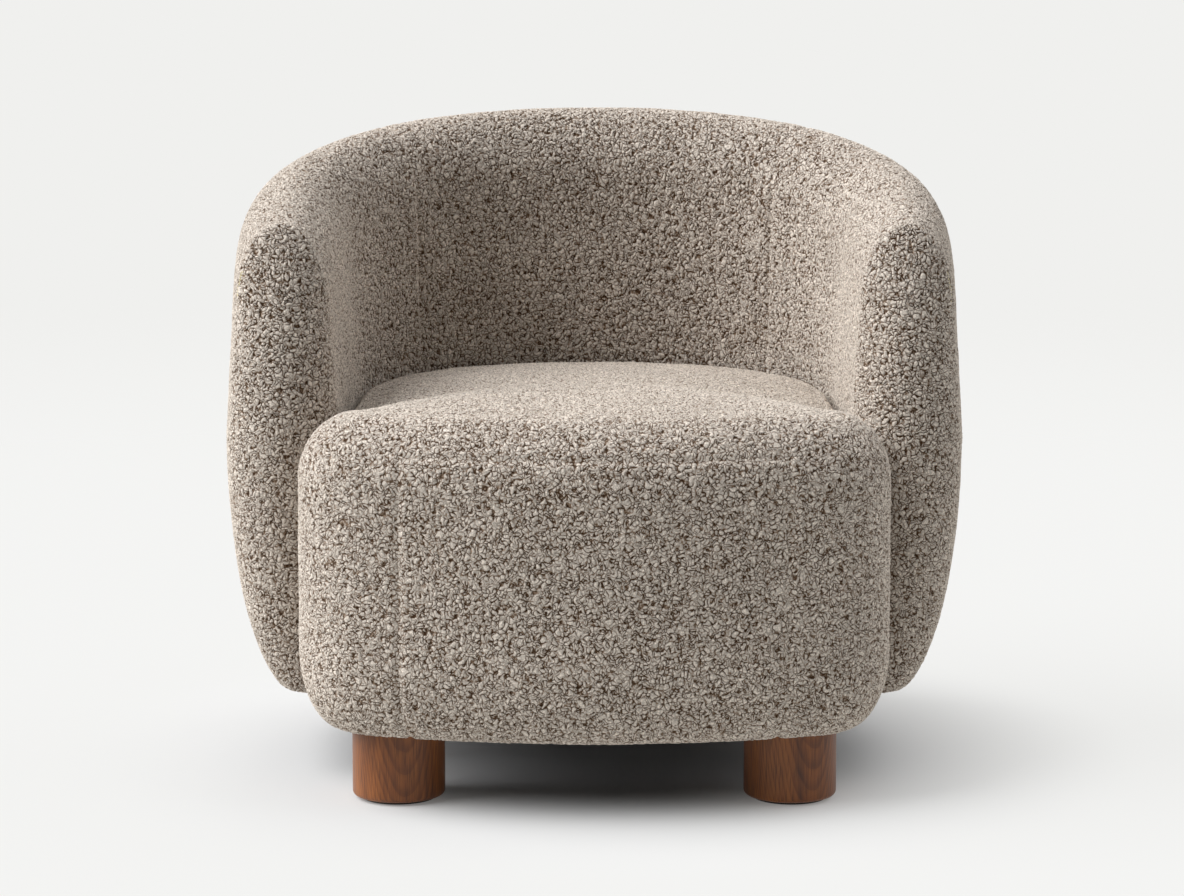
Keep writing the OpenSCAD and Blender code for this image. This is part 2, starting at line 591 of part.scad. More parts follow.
deck_rail(rail_front_y, rail_rear_y, 0, chair_w);  // deck_rail_right
deck_rail(rail_rear_y, chair_d, -chair_w, chair_w);  // deck_rail_rear
seat_front_board();
long_strap(0);  // long_strap_1
long_strap(1);  // long_strap_2
long_strap(2);  // long_strap_3
long_strap(3);  // long_strap_4
cross_strap(0);  // cross_strap_1
cross_strap(1);  // cross_strap_2
cross_strap(2);  // cross_strap_3
seat_foam();
seat_border_foam();
seat_cover();
seat_front_panel();
tub_bottom_rail();
tub_middle_rail();
tub_top_rail();
upright(0, 1);  // upright_1
upright(1, 1);  // upright_2
upright(2, 1);  // upright_3
upright(3, 1);  // upright_4
upright(2, -1);  // upright_5
upright(1, -1);  // upright_6
upright(0, -1);  // upright_7
tub_outer_board();
tub_inner_board();
back_foam();
arm_foam(-1);  // arm_foam_left
arm_foam(1);  // arm_foam_right
inside_back_cover();
outside_back_cover();
arm_cover(-1);  // arm_cover_left
arm_cover(1);  // arm_cover_right
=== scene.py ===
"""A low tub chair in teddy boucle on four round wooden legs, dressed round its CAD frame.

Lengths below are millimetres, as the maker states them, and become metres where a mesh is made.
"""
import json
import math

import bmesh
import bpy
import numpy as np
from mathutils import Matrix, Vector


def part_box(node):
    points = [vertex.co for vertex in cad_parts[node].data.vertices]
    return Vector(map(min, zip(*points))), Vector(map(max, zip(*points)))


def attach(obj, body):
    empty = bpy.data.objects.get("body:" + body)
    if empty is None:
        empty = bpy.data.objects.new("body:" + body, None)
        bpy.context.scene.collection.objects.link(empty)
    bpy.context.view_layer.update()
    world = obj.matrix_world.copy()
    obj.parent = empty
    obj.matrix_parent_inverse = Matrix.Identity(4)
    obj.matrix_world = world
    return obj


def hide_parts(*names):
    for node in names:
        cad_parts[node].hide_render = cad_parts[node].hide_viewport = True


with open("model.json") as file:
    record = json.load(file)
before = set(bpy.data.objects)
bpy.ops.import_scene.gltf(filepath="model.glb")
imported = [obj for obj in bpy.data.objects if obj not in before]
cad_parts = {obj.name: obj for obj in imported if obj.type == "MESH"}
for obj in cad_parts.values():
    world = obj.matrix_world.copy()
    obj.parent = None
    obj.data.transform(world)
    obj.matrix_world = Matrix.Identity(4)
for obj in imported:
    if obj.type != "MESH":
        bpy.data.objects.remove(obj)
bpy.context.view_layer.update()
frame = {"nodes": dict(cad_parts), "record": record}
MM = 0.001

# sizes of the chair, in millimetres
CHAIR_W, CHAIR_D, CHAIR_H = 800.0, 760.0, 697.0
ARM_H = 590.0
WALL_T, NOSE_W = 136.0, 120.0
NOSE_BACK, WIDEST_SHARE, WIDEST_Z = 190.0, 0.513, 362.0
TUB_LOW_Z, TUCK, LEAN, ROLL_H, TOE_IN = 88.0, 66.0, 9.0, 88.0, 2.0
NOSE_SLOPE = 34.0
ROUND_POWER = 2.15
SEAT_SIDE_IN, SEAT_H, SEAT_LOW_Z = 94.0, 415.0, 75.0
SEAT_FRONT_R, SEAT_CORNER_R, CORNER_END = 700.0, 100.0, 36.0
SEAM_TURN_OVER, SEAM_SIDE_IN = 30.0, 109.0
OVER_IN, UNDER_IN, UNDER_H = 62.0, 44.0, 84.0
FRONT_EDGE_Z, FRONT_ROUND_Z = 405.0, 335.0
WALL_OVER_IN, WALL_OVER_H, WALL_EDGE_Z, WALL_EDGE_RISE = 16.0, 28.0, 386.0, 20.0
SEAT_SLACK = 0.6
CROWN_BACK = 315.0
BASE_TOP = 112.0
SKIN_IN = 1.2          # the woven ground of the pile lies this far inside the finished size
ARM_STEPS, BACK_STEPS, BACK_SEAM_STEP = 2, 8, 6
SPACING = 1.66      # distance between neighbouring points of the covers

mid_w = (CHAIR_W - WALL_T) / 2
mid_back_y = (CHAIR_D - WALL_T) / 2
mid_front_y = NOSE_BACK - CHAIR_D / 2 + NOSE_W / 2
widest_y = CHAIR_D * (WIDEST_SHARE - 0.5)
arm_len = widest_y - mid_front_y
back_len = mid_back_y - widest_y
top_slope = (CHAIR_H - ARM_H) / (mid_back_y - mid_front_y)
OUTER_LONGER = 1.13    # the outer face is this much longer than the wall's middle line
HIDDEN_COLS, TUB_HIDDEN_ROWS, SEAT_HIDDEN_ROWS = 6, 12, 16      # one point of so many stays out of sight
FAR_OFF = 1e3          # further than any seam


def cosd(degrees):
    return np.cos(np.radians(degrees))


def sind(degrees):
    return np.sin(np.radians(degrees))


def summed(lengths):
    """Length up to each point, from the lengths between neighbours."""
    return np.concatenate([[0], np.cumsum(lengths)])


def split(total, spacing):
    return max(2, round(total / spacing))


def evenly(length, value, spacing, start=0.0, end=None):
    """The values at even steps of length, from start to end."""
    end = length[-1] if end is None else end
    return np.interp(np.linspace(start, end, split(end - start, spacing) + 1), length, value)


def thinned(start, end, step, kept=()):
    """Every so many of the numbers from start, with the end itself and those to keep."""
    return np.unique([*range(start, end, step), *kept, end])


def quarter(start, end, wide, high):
    """Degrees along a quarter of an ellipse, and the length up to each."""
    a = np.linspace(start, end, 400)
    return a, summed(np.hypot(np.diff(wide * cosd(a)), np.diff(high * sind(a))))


def rows_of(*runs):
    """The part that each row of a section lies on, and its value there."""
    return np.repeat(np.arange(len(runs)), [len(run) for run in runs]), np.concatenate(runs)


# the wall's path in plan
def half_path():
    """The wall's middle line from a nose to the middle of the back: arc length, point, outward normal,
    half thickness and path step."""
    k = np.concatenate([np.linspace(0, ARM_STEPS, 300),
                        ARM_STEPS + BACK_STEPS * np.linspace(0, 1, 3000)[1:]])
    arm = k <= ARM_STEPS
    y = mid_front_y + arm_len * np.minimum(k, ARM_STEPS) / ARM_STEPS
    x = mid_w - TOE_IN * ((widest_y - y) / arm_len) ** 2
    n = np.stack([np.ones_like(k), -2 * TOE_IN * (widest_y - y) / arm_len ** 2], 1)
    a = np.radians(90 * np.clip((k - ARM_STEPS) / BACK_STEPS, 0, 1))
    c = 2 / ROUND_POWER
    cos, sin = np.clip(np.cos(a), 0, 1), np.sin(a)
    x = np.where(arm, x, mid_w * cos ** c)
    y = np.where(arm, y, widest_y + back_len * sin ** c)
    n = np.where(arm[:, None], n, np.stack([back_len * cos ** (2 - c), mid_w * sin ** (2 - c)], 1))
    n /= np.linalg.norm(n, axis=1)[:, None]
    half = np.where(arm, (NOSE_W + (WALL_T - NOSE_W) * k / ARM_STEPS) / 2, WALL_T / 2)
    return summed(np.hypot(np.diff(x), np.diff(y))), np.column_stack([x, y, n, half, k])


PATH_S, PATH = half_path()
PATH_LEN = PATH_S[-1]


def on_path(s):
    """Point, normal and half thickness at arc lengths s, where the whole line runs from the left nose (0)
    to the right one (2 * PATH_LEN)."""
    back = s > PATH_LEN
    t = np.where(back, 2 * PATH_LEN - s, s)
    x, y, nx, ny, half = (np.interp(t, PATH_S, PATH[:, i]) for i in range(5))
    side = np.where(back, 1.0, -1.0)
    return x * side, y, nx * side, ny, half


# the wall's section
def section_rows(spacing):
    """Rows of the wall's section from its outer lower edge over the roll to its inner lower edge.
    Each row is (part, share): part 0 outer low, 1 outer side, 2 roll, 3 inner side, 4 inner low."""
    b, length = quarter(90, 0, TUCK, WIDEST_Z - TUB_LOW_Z)
    low = evenly(length, b, spacing)
    side = np.linspace(0, 1, split(CHAIR_H - ROLL_H - WIDEST_Z, spacing * 1.06) + 1)
    roll = np.linspace(0, 180, split(math.pi * (WALL_T / 2 - LEAN + ROLL_H) / 2, spacing) + 1)
    return rows_of(low, side[1:], roll[1:], side[::-1][1:], low[::-1][1:])


def wall_grid(cols, part, value, inset):
    """Points of the wall's face. cols is (point x, y, normal x, y, half thickness, turn round the nose)."""
    x, y, nx, ny, half, turn = (c[:, None] for c in cols)
    top = CHAIR_H - top_slope * (mid_back_y - y)
    roll_z = top - ROLL_H
    h = half - inset
    side_z = WIDEST_Z + (roll_z - WIDEST_Z) * value
    lean = LEAN * (side_z - WIDEST_Z) / (roll_z - WIDEST_Z)
    b = np.radians(np.where((part == 0) | (part == 4), value, 0))
    a = np.radians(np.where(part == 2, value, 0))
    low = TUB_LOW_Z + inset
    low_in = low + (BASE_TOP - low) * cosd(turn)
    draw = TUCK * (1 - np.cos(b))
    r = h - LEAN
    u = np.choose(part, [h - draw, h - lean, r * np.cos(a), lean - h, -h + 0 * b])
    z = np.choose(part, [WIDEST_Z - (WIDEST_Z - low) * np.sin(b), side_z + 0 * h,
                         roll_z + (ROLL_H - inset) * np.sin(a), side_z + 0 * h,
                         WIDEST_Z - (WIDEST_Z - low_in) * np.sin(b)])
    out = np.choose(part, [h - draw, h - lean, r + 0 * a, h - lean, h - draw])
    inn = np.choose(part, [h + 0 * b, h - lean, r + 0 * a, h - lean, h + 0 * b])
    c, w = (out - inn) / 2, (out + inn) / 2
    cos, sin = cosd(turn), sind(turn)
    u = c + (u - c) * cos
    z = np.where(part == 2, roll_z + (z - roll_z) * cos, z)
    # ahead of the nose is the normal turned a quarter, to the front
    side = np.sign(nx)
    ax, ay = side * ny, -side * nx
    slope = NOSE_SLOPE * (np.clip((z - WIDEST_Z) / (top - WIDEST_Z), 0, 1) ** 2)
    px = x + u * nx + (w - slope) * sin * ax
    py = y + u * ny + (w - slope) * sin * ay
    return np.stack(np.broadcast_arrays(px, py, z), -1)


class Sheet:
    """Quads gathered from several grids of points, welded into one surface."""

    def __init__(self):
        self.points, self.uvs, self.keep, self.quads, self.panels = [], [], [], [], []
        self.count = 0

    def grid(self, points, uv, keep, panel):
        """keep is each point's distance to the nearest seam. panel names each quad's cover."""
        n, m = points.shape[:2]
        i = np.arange(n * m).reshape(n, m) + self.count
        quads = np.stack([i[:-1, :-1], i[1:, :-1], i[1:, 1:], i[:-1, 1:]], -1).reshape(-1, 4)
        self.points.append(points.reshape(-1, 3))
        self.uvs.append(np.broadcast_to(uv, (n, m, 2)).reshape(-1, 2))
        self.keep.append(np.broadcast_to(keep, (n, m)).reshape(-1))
        self.quads.append(quads)
        self.panels.append(np.broadcast_to(panel, (n - 1, m - 1)).reshape(-1))
        self.count += n * m

    def part(self, cols, rows, points, uv, keep, panel):
        """Adds only the columns and rows that are named."""
        at = np.ix_(cols, rows)
        self.grid(points[at], uv[at], keep[at], panel[np.ix_(cols[:-1], rows[:-1])])

    def weld(self):
        """The points of all grids, each once, with the quads and triangles between them."""
        points, uvs, keep = (np.concatenate(v) for v in (self.points, self.uvs, self.keep))
        quads, panels = np.concatenate(self.quads), np.concatenate(self.panels)
        _, first, back = np.unique(np.round(points * 50).astype(np.int64), axis=0, return_index=True,
                                   return_inverse=True)
        faces = back.reshape(-1)[quads]
        uv_corners = uvs[quads]
        same = np.array([faces[:, i] == faces[:, j] for i in range(4) for j in range(i)])
        whole = ~same.any(0)
        # a quad with one doubled corner is kept as a triangle
        tri = same.sum(0) == 1
        double = faces[tri] == np.roll(faces[tri], -1, 1)
        ok = double.sum(1) == 1
        stay = ~double[ok]
        return dict(points=points[first], keep=keep[first], quads=faces[whole], quad_uv=uv_corners[whole],
                    quad_panel=panels[whole], tris=faces[tri][ok][stay].reshape(-1, 3),
                    tri_uv=uv_corners[tri][ok][stay].reshape(-1, 3, 2), tri_panel=panels[tri][ok])


def face_list(w):
    """Corner indices, face starts and sizes for foreach_set, quads first."""
    q, t = w["quads"], w["tris"]
    corners = np.concatenate([q.reshape(-1), t.reshape(-1)])
    sizes = np.concatenate([np.full(len(q), 4), np.full(len(t), 3)])
    return corners, summed(sizes)[:-1], sizes


def make_mesh(name, points, corners, starts, sizes):
    me = bpy.data.meshes.new(name)
    me.vertices.add(len(points))
    me.vertices.foreach_set("co", (np.asarray(points) * MM).astype(np.float32).ravel())
    me.loops.add(len(corners))
    me.loops.foreach_set("vertex_index", corners.astype(np.int32))
    me.polygons.add(len(sizes))
    me.polygons.foreach_set("loop_start", starts.astype(np.int32))
    me.update(calc_edges=True)
    me.validate()
    me.polygons.foreach_set("use_smooth", np.ones(len(me.polygons), bool))
    return me


def vertex_normals(points, quads, tris):
    n = np.zeros_like(points)
    for faces, (a, b, c, d) in ((quads, (0, 2, 1, 3)), (tris, (0, 1, 0, 2))):
        across = np.cross(points[faces[:, b]] - points[faces[:, a]],
                          points[faces[:, d]] - points[faces[:, c]])
        for corner in faces.T:
            for axis in range(3):
                n[:, axis] += np.bincount(corner, across[:, axis], len(points))
    return n / np.maximum(np.linalg.norm(n, axis=1), 1e-12)[:, None]


# the tub's cover
ARM_LEFT, INSIDE_BACK, OUTSIDE_BACK, ARM_RIGHT, SEAT_TOP, SEAT_FRONT = range(6)


def tub_sheet(inset, spacing):
    sheet = Sheet()
    seam = float(np.interp(BACK_SEAM_STEP, PATH[:, 5], PATH_S))
    n_nose = split(math.pi * NOSE_W / 4, spacing)
    n_arm, n_back = (split(length * OUTER_LONGER, spacing) for length in (seam, PATH_LEN - seam))
    part, value = section_rows(spacing)
    nose_turn = np.linspace(90, 0, n_nose + 1)
    run = np.concatenate([np.linspace(0, seam, n_arm + 1), np.linspace(seam, PATH_LEN, n_back + 1)[1:]])
    run = np.concatenate([run, 2 * PATH_LEN - run[::-1][1:]])
    s = np.concatenate([np.zeros(n_nose), run, np.full(n_nose, 2 * PATH_LEN)])
    turn = np.concatenate([nose_turn[:-1], np.zeros(len(run)), nose_turn[::-1][1:]])
    place = on_path(s)
    points = wall_grid((*place, turn), part, value, inset)
    nrm = np.stack(place[2:4], 1)
    # lengths along the section and the path, for the map and the distance to the seams
    n_cols, n_rows = points.shape[:2]
    v = summed(np.linalg.norm(np.diff(points[n_cols // 2], axis=0), axis=1))
    along = s + np.where(s < PATH_LEN, -1, 1) * np.radians(turn) * NOSE_W / 2
    uv = np.stack(np.meshgrid(along, v, indexing="ij"), -1)
    first_roll = int(np.argmax(part == 2)) - 1
    col_seams = [n_nose + n_arm, n_cols - 1 - n_nose - n_arm]
    ci, ri = np.arange(n_cols - 1)[:, None], np.arange(n_rows - 1)[None, :]
    panel = np.where(ci < col_seams[0], ARM_LEFT, np.where(ci >= col_seams[1], ARM_RIGHT,
            np.where(ri < first_roll, OUTSIDE_BACK, INSIDE_BACK)))
    # distance to the nearest seam: two upright ones, and one along the outside of the roll between them
    other = 2 * PATH_LEN - seam
    across = np.minimum(np.abs(along - seam), np.abs(along - other))[:, None] + 0 * v[None, :]
    between = ((along > seam) & (along < other))[:, None]
    gap = np.minimum(across, np.where(between, np.abs(v - v[first_roll])[None, :], FAR_OFF))
    last_side = int(np.max(np.nonzero(part == 3)[0]))
    whole = (points, uv, gap, panel)
    # the free part: everything down to just below the seat's edge, and all of the noses
    sheet.part(np.arange(n_cols), np.arange(last_side + 1), *whole)
    left, right = n_nose + HIDDEN_COLS, n_cols - 1 - HIDDEN_COLS - n_nose
    for cols in (np.arange(left + 1), np.arange(right, n_cols)):
        sheet.part(cols, np.arange(last_side, n_rows), *whole)
    # hidden behind the seat: few points are enough
    sheet.part(thinned(left, right, HIDDEN_COLS, col_seams),
               thinned(last_side, n_rows - 1, TUB_HIDDEN_ROWS), *whole)
    # the hem turns in under the outer edge
    hem = [(2.6, 8.0, 8.0), (2.4, 1.8, 3.0), (1.5, 0.4, 1.5), (0.0, 0.0, 0.0)]      # in, up and along
    ahead = np.stack([np.sign(nrm[:, 0]) * nrm[:, 1], -np.sign(nrm[:, 0]) * nrm[:, 0]], 1)
    out_dir = nrm * cosd(turn)[:, None] + ahead * sind(turn)[:, None]
    edge = points[:, 0]
    strip = np.stack([np.column_stack([edge[:, :2] - out_dir * i, edge[:, 2] + z]) for i, z, _ in hem], 1)
    hem_v = v[0] - np.array([down for _, _, down in hem])
    sheet.grid(strip, np.stack(np.meshgrid(along, hem_v, indexing="ij"), -1), gap[:, :1], panel[:, :1])
    return sheet


# the seat's cover
def seat_outline():
    """The seat's plan outline, from the middle of its front to the middle of its back on the right side:
    arc length, point, outward normal and share of the front's profile."""
    front_cy = SEAT_FRONT_R - CHAIR_D / 2
    half_w = CHAIR_W / 2 - SEAT_SIDE_IN
    turn = math.degrees(math.asin((half_w - SEAT_CORNER_R) / (SEAT_FRONT_R - SEAT_CORNER_R)))
    corner = np.array([half_w - SEAT_CORNER_R,
                       front_cy - (SEAT_FRONT_R - SEAT_CORNER_R) * math.cos(math.radians(turn))])

    def arc(centre, radius, start, end, n):
        a = np.radians(np.linspace(start, end, n))
        d = np.stack([np.cos(a), np.sin(a)], 1)
        return centre + radius * d, d

    p1, n1 = arc(np.array([0, front_cy]), SEAT_FRONT_R, -90, turn - 90, 400)
    p2, n2 = arc(corner, SEAT_CORNER_R, turn - 90, CORNER_END, 300)
    m, mn = PATH[0, :2], PATH[0, 2:4]
    lean = math.degrees(math.atan2(mn[1], mn[0]))
    p3, d3 = arc(m, NOSE_W / 2 + SEAT_SLACK, 180 + lean + 48, 180 + lean, 120)
    p4 = PATH[:, :2] - (PATH[:, 4:5] + SEAT_SLACK) * PATH[:, 2:4]
    points = np.concatenate([p1, p2[1:], p3, p4[1:]])
    normals = np.concatenate([n1, n2[1:], -d3, PATH[1:, 2:4]])
    s = summed(np.linalg.norm(np.diff(points, axis=0), axis=1))
    a, b = s[len(p1) + len(p2) - 40], s[len(p1) + len(p2) - 1 + len(p3)]
    t = np.clip((s - a) / (b - a), 0, 1)
    return s, points, normals, 1 - t * t * (3 - 2 * t)


def seat_sheet(inset, spacing):
    s0, p0, n0, f0 = seat_outline()
    length = s0[-1]
    seam_s = math.asin((CHAIR_W / 2 - SEAT_SIDE_IN - SEAM_SIDE_IN) / SEAT_FRONT_R) * SEAT_FRONT_R
    n4 = split(length / 2, spacing)
    n4 += n4 % 2
    centre = np.array([0, CROWN_BACK - CHAIR_D / 2])

    def around(share):
        """The outline at shares of its whole length, from the middle of the front towards the right."""
        share = np.asarray(share) % 1
        right = share <= 0.5
        t = np.where(right, share, 1 - share) * 2 * length
        side = np.where(right, 1.0, -1.0)
        x, y, nx, ny = (np.interp(t, s0, a) for a in (p0[:, 0], p0[:, 1], n0[:, 0], n0[:, 1]))
        return np.stack([x * side, y], -1), np.stack([nx * side, ny], -1), np.interp(t, s0, f0), t

    def profile(front, y, part, value):
        """Distance inside the edge and height. part 0 hem and under roll, 1 upright, 2 over roll."""
        b = np.radians(np.where(part == 0, value, 0))
        a = np.radians(np.where(part == 2, value, 0))
        f_in = np.choose(part, [UNDER_IN * (1 - np.cos(b)), 0 * b, OVER_IN * (1 - np.cos(a))])
        f_z = np.choose(part, [SEAT_LOW_Z + UNDER_H * (1 - np.sin(b)),
                               SEAT_LOW_Z + UNDER_H + (FRONT_ROUND_Z - SEAT_LOW_Z - UNDER_H) * value,
                               FRONT_ROUND_Z + (FRONT_EDGE_Z - FRONT_ROUND_Z) * np.sin(a)])
        edge = WALL_EDGE_Z + WALL_EDGE_RISE * (y - mid_front_y) / (mid_back_y - mid_front_y)
        round_z = edge - WALL_OVER_H
        w_in = np.where(part == 2, WALL_OVER_IN * (1 - np.cos(a)), 0)
        share = np.where(part == 0, (90 - value) / 90 * 0.4, 0.4 + 0.6 * value)
        w_z = np.where(part == 2, round_z + WALL_OVER_H * np.sin(a),
                       BASE_TOP + (round_z - BASE_TOP) * share)
        # the inset moves every face of the profile inwards
        f_z = np.where(part == 0, f_z + inset * np.sin(b),
                       np.where(part == 2, f_z - inset * np.sin(a), f_z))
        w_z = np.where(part == 2, w_z - inset * np.sin(a), w_z)
        f_in = f_in + inset * np.where(part == 2, np.cos(a), np.where(part == 0, np.cos(b), 1))
        w_in = w_in + inset * np.where(part == 2, np.cos(a), 1)
        return front * f_in + (1 - front) * w_in, front * f_z + (1 - front) * w_z

    # rows
    b, length_b = quarter(90, 0, UNDER_IN, UNDER_H)
    under = evenly(length_b, b, spacing)
    upright = np.linspace(0, 1, split(FRONT_ROUND_Z - SEAT_LOW_Z - UNDER_H, spacing) + 1)
    a, length_a = quarter(0, 90, OVER_IN, FRONT_EDGE_Z - FRONT_ROUND_Z)
    cut = np.interp(SEAM_TURN_OVER, a, length_a)
    over = np.concatenate([evenly(length_a, a, spacing, 0, cut), evenly(length_a, a, spacing, cut)[1:]])
    part, value = rows_of(under, upright[1:], over[1:])

    # columns: the outline's share of each boundary point of the square that covers the top
    t = np.linspace(-1, 1, n4 + 1)
    side_share = np.arcsin(t / math.sqrt(2)) / (math.pi / 4) / 8      # -1/8 to 1/8 of the outline
    share = np.concatenate([side_share[:-1] + turn for turn in (0, 0.25, 0.5)] + [side_share + 0.75])

    # the columns move a little, so that two of them stand on the upright seams
    seam_share = seam_s / (2 * length)
    nearest = side_share[np.argmin(np.abs(side_share - seam_share))]

    def fit(x):
        """Moves the shares so that the one nearest the seam lies on it."""
        x = (np.asarray(x) + 0.5) % 1 - 0.5
        bump = np.clip(1 - np.abs(np.abs(x) - nearest) / 0.05, 0, 1)
        return x + np.sign(x) * (seam_share - nearest) * bump

    share = fit(share)
    share[-1] = share[0] + 1
    pts, nrm, front, t_abs = around(share)
    inn, z = profile(front[:, None], pts[:, 1:2], part, value)
    side = np.concatenate([pts[:, None, :] - inn[..., None] * nrm[:, None, :], z[..., None]], -1)
    down = summed(np.linalg.norm(np.diff(side[0], axis=0), axis=1))
    down = down[-1] - down
    rim = side[:, -1]
    reach = np.linalg.norm(rim[:, :2] - centre, axis=1)
    unit = (rim[:, :2] - centre) / reach[:, None]
    uv = centre + unit[:, None, :] * (reach[:, None] + down[None, :])[..., None]
    seam_row = int(np.argmin(np.abs(np.where(part == 2, value, FAR_OFF) - SEAM_TURN_OVER)))
    near = np.minimum(t_abs, 2 * length - t_abs)
    across = np.abs(near - seam_s)[:, None] + 0 * down
    level = np.abs(down - down[seam_row])[None, :] + 0 * across
    gap = np.where(down[None, :] < down[seam_row], FAR_OFF, across)
    gap = np.where((near < seam_s + 3)[:, None], np.minimum(gap, level), gap)
    gap = np.minimum(gap, np.hypot(across, level))
    shares_signed = (share + 0.5) % 1 - 0.5
    on_front = np.abs((shares_signed[:-1] + shares_signed[1:]) / 2) < seam_share
    on_front &= np.abs(shares_signed[:-1]) < 0.4
    below = (np.arange(len(part) - 1) < seam_row)[None, :]
    panel = np.where(on_front[:, None] & below, SEAT_FRONT, SEAT_TOP)
    sheet = Sheet()
    first_over = int(np.argmax(part == 2)) - 1
    order = np.arange(len(share))
    whole = (side, uv, gap, panel)
    sheet.part(order, np.arange(first_over, len(part)), *whole)
    # the columns that show in front of the arms, to the right and to the left of the middle
    shown = front > 0.02
    lefts = order[(order > len(share) // 2) & shown]
    rights = order[(order <= len(share) // 2) & shown]
    for group in (rights, lefts):
        g = np.arange(group.min(), group.max() + 1)
        sheet.part(g, np.arange(first_over + 1), *whole)
        # the hem: in, up and along
        hem = [(8.0, 9.0, 12.0), (3.0, 7.0, 6.0), (1.5, 2.2, 3.0), (0.6, 0.5, 1.0), (0.0, 0.0, 0.0)]
        edge = side[g][:, 0]
        strip = np.stack([np.column_stack([edge[:, :2] - nrm[g] * i, edge[:, 2] + h])
                          for i, h, _ in hem], 1)
        more = np.array([along for _, _, along in hem])[None, :, None]
        sheet.grid(strip, uv[g][:, :1] + unit[g][:, None, :] * more, FAR_OFF, panel[g[:-1]][:, :1])
    hidden = order[~shown]
    sheet.part(thinned(hidden.min() - 1, hidden.max() + 1, HIDDEN_COLS),
               thinned(0, first_over, SEAT_HIDDEN_ROWS), *whole)

    # the top: a square of points laid on the disc inside the rim
    uu, vv = np.meshgrid(t, t, indexing="ij")
    dx, dy = uu * np.sqrt(1 - vv ** 2 / 2), vv * np.sqrt(1 - uu ** 2 / 2)
    rho = np.hypot(dx, dy)
    ang = np.arctan2(dx, -dy) / (2 * math.pi)          # 0 at the front, a quarter at the right
    sh = fit(ang)
    p, n, fr, _ = around(np.where(sh < 0, sh + 1, sh))
    ins, zz = profile(fr, p[..., 1], np.full(fr.shape, 2), np.full(fr.shape, 90.0))
    xy = centre + (p - ins[..., None] * n - centre) * rho[..., None]
    zz = zz + (SEAT_H - inset - zz) * (1 - rho ** 2.3)
    sheet.grid(np.concatenate([xy, zz[..., None]], -1), xy, FAR_OFF, SEAT_TOP)
    return sheet


def build(sheet, flip=False):
    w = sheet.weld()
    if flip:
        for key in ("quads", "quad_uv", "tris", "tri_uv"):
            w[key] = w[key][:, ::-1]
    w["normals"] = vertex_normals(w["points"], w["quads"], w["tris"])
    return w


def srgb(code):
    """Linear RGBA of an sRGB hex colour."""
    c = [int(code[i:i + 2], 16) / 255 for i in (1, 3, 5)]
    return tuple(v / 12.92 if v <= 0.04045 else ((v + 0.055) / 1.055) ** 2.4 for v in c) + (1.0,)


def adder(tree):
    """Gives the function that adds a node to a tree. kind leaves the word ShaderNode out and may end in an
    operation. inputs gives, by name or in order, each input's value, the socket that feeds it or the node
    whose first output does. A MapRange takes a value, the range it comes from and the range it goes to.
    stops are a ramp's places and its colours or grey levels."""
    def add(kind, inputs=(), stops=(), **settings):
        kind, _, operation = kind.partition(" ")
        n = tree.nodes.new(kind if kind.startswith(("Geometry", "NodeGroup")) else "ShaderNode" + kind)
        if operation:
            n.operation = operation
        for key, value in settings.items():
            setattr(n, key, value)
        if stops:
            ramp = n.color_ramp.elements
            ramp.remove(ramp[1])
            ramp[0].position = stops[0][0]
            for at, _ in stops[1:]:
                ramp.new(at)
            for stop, (_, colour) in zip(ramp, stops):
                stop.color = srgb(colour) if isinstance(colour, str) else (colour, colour, colour, 1)
        for key, value in (inputs.items() if isinstance(inputs, dict) else enumerate(inputs)):
            if isinstance(value, bpy.types.Node):
                value = value.outputs[0]
            if isinstance(value, bpy.types.NodeSocket):
                tree.links.new(value, n.inputs[key])
            else:
                n.inputs[key].default_value = value
        return n

    return add


SMOOTH = {"interpolation_type": "SMOOTHSTEP"}
VECTORS = {"data_type": "FLOAT_VECTOR"}


def nub_pattern(add, place):
    """The boucle's nubs: flat clumps of curls with thin cracks between some of them. place counts in nub
    lengths. Gives the clumps' height, their roundness and the height of their curls, each from 0 to 1."""
    warp = add("TexNoise", {0: place, "Scale": 0.7, "Detail": 0.0})
    off = add("VectorMath SUBTRACT", [warp.outputs["Color"], (0.5, 0.5, 0.5)])
    bent = add("VectorMath MULTIPLY_ADD", [off, (2.2, 2.2, 2.2), place])
    edge = add("TexVoronoi", {0: bent, "Scale": 1.0}, feature="DISTANCE_TO_EDGE")
    crack = add("MapRange", [edge, 0.0, 0.15, 1.0, 0.0], **SMOOTH)
    dome = add("MapRange", [edge, 0.02, 0.4], **SMOOTH)
    open_at = add("TexNoise", {0: place, "Scale": 0.9, "Detail": 1.0})
    parted = add("MapRange", [open_at, 0.34, 0.56, 0.3], **SMOOTH)
    deep = add("Math MULTIPLY", [crack, parted])
    soft = add("TexNoise", {0: place, "Scale": 1.1, "Detail": 1.0})
    full = add("MapRange", [soft, 0.3, 0.7, 0.88])
    nub = add("Math SUBTRACT", [full, deep], use_clamp=True)
    curl = add("TexVoronoi", {0: place, "Scale": 2.6}, feature="F1")
    fleece = add("MapRange", [curl, 0.0, 0.75, 1.0, 0.0], **SMOOTH)
    return nub, dome, fleece


NUB_MM = 4.7          # length of a nub of the yarn
PILE_MM = 1.6         # height of the nubs over their ground
SEAM_HALF_MM = 7.0    # the pile lies lower this far to each side of a seam
SEAM_DEPTH_MM = 0.8   # and the ground sinks this deep at it


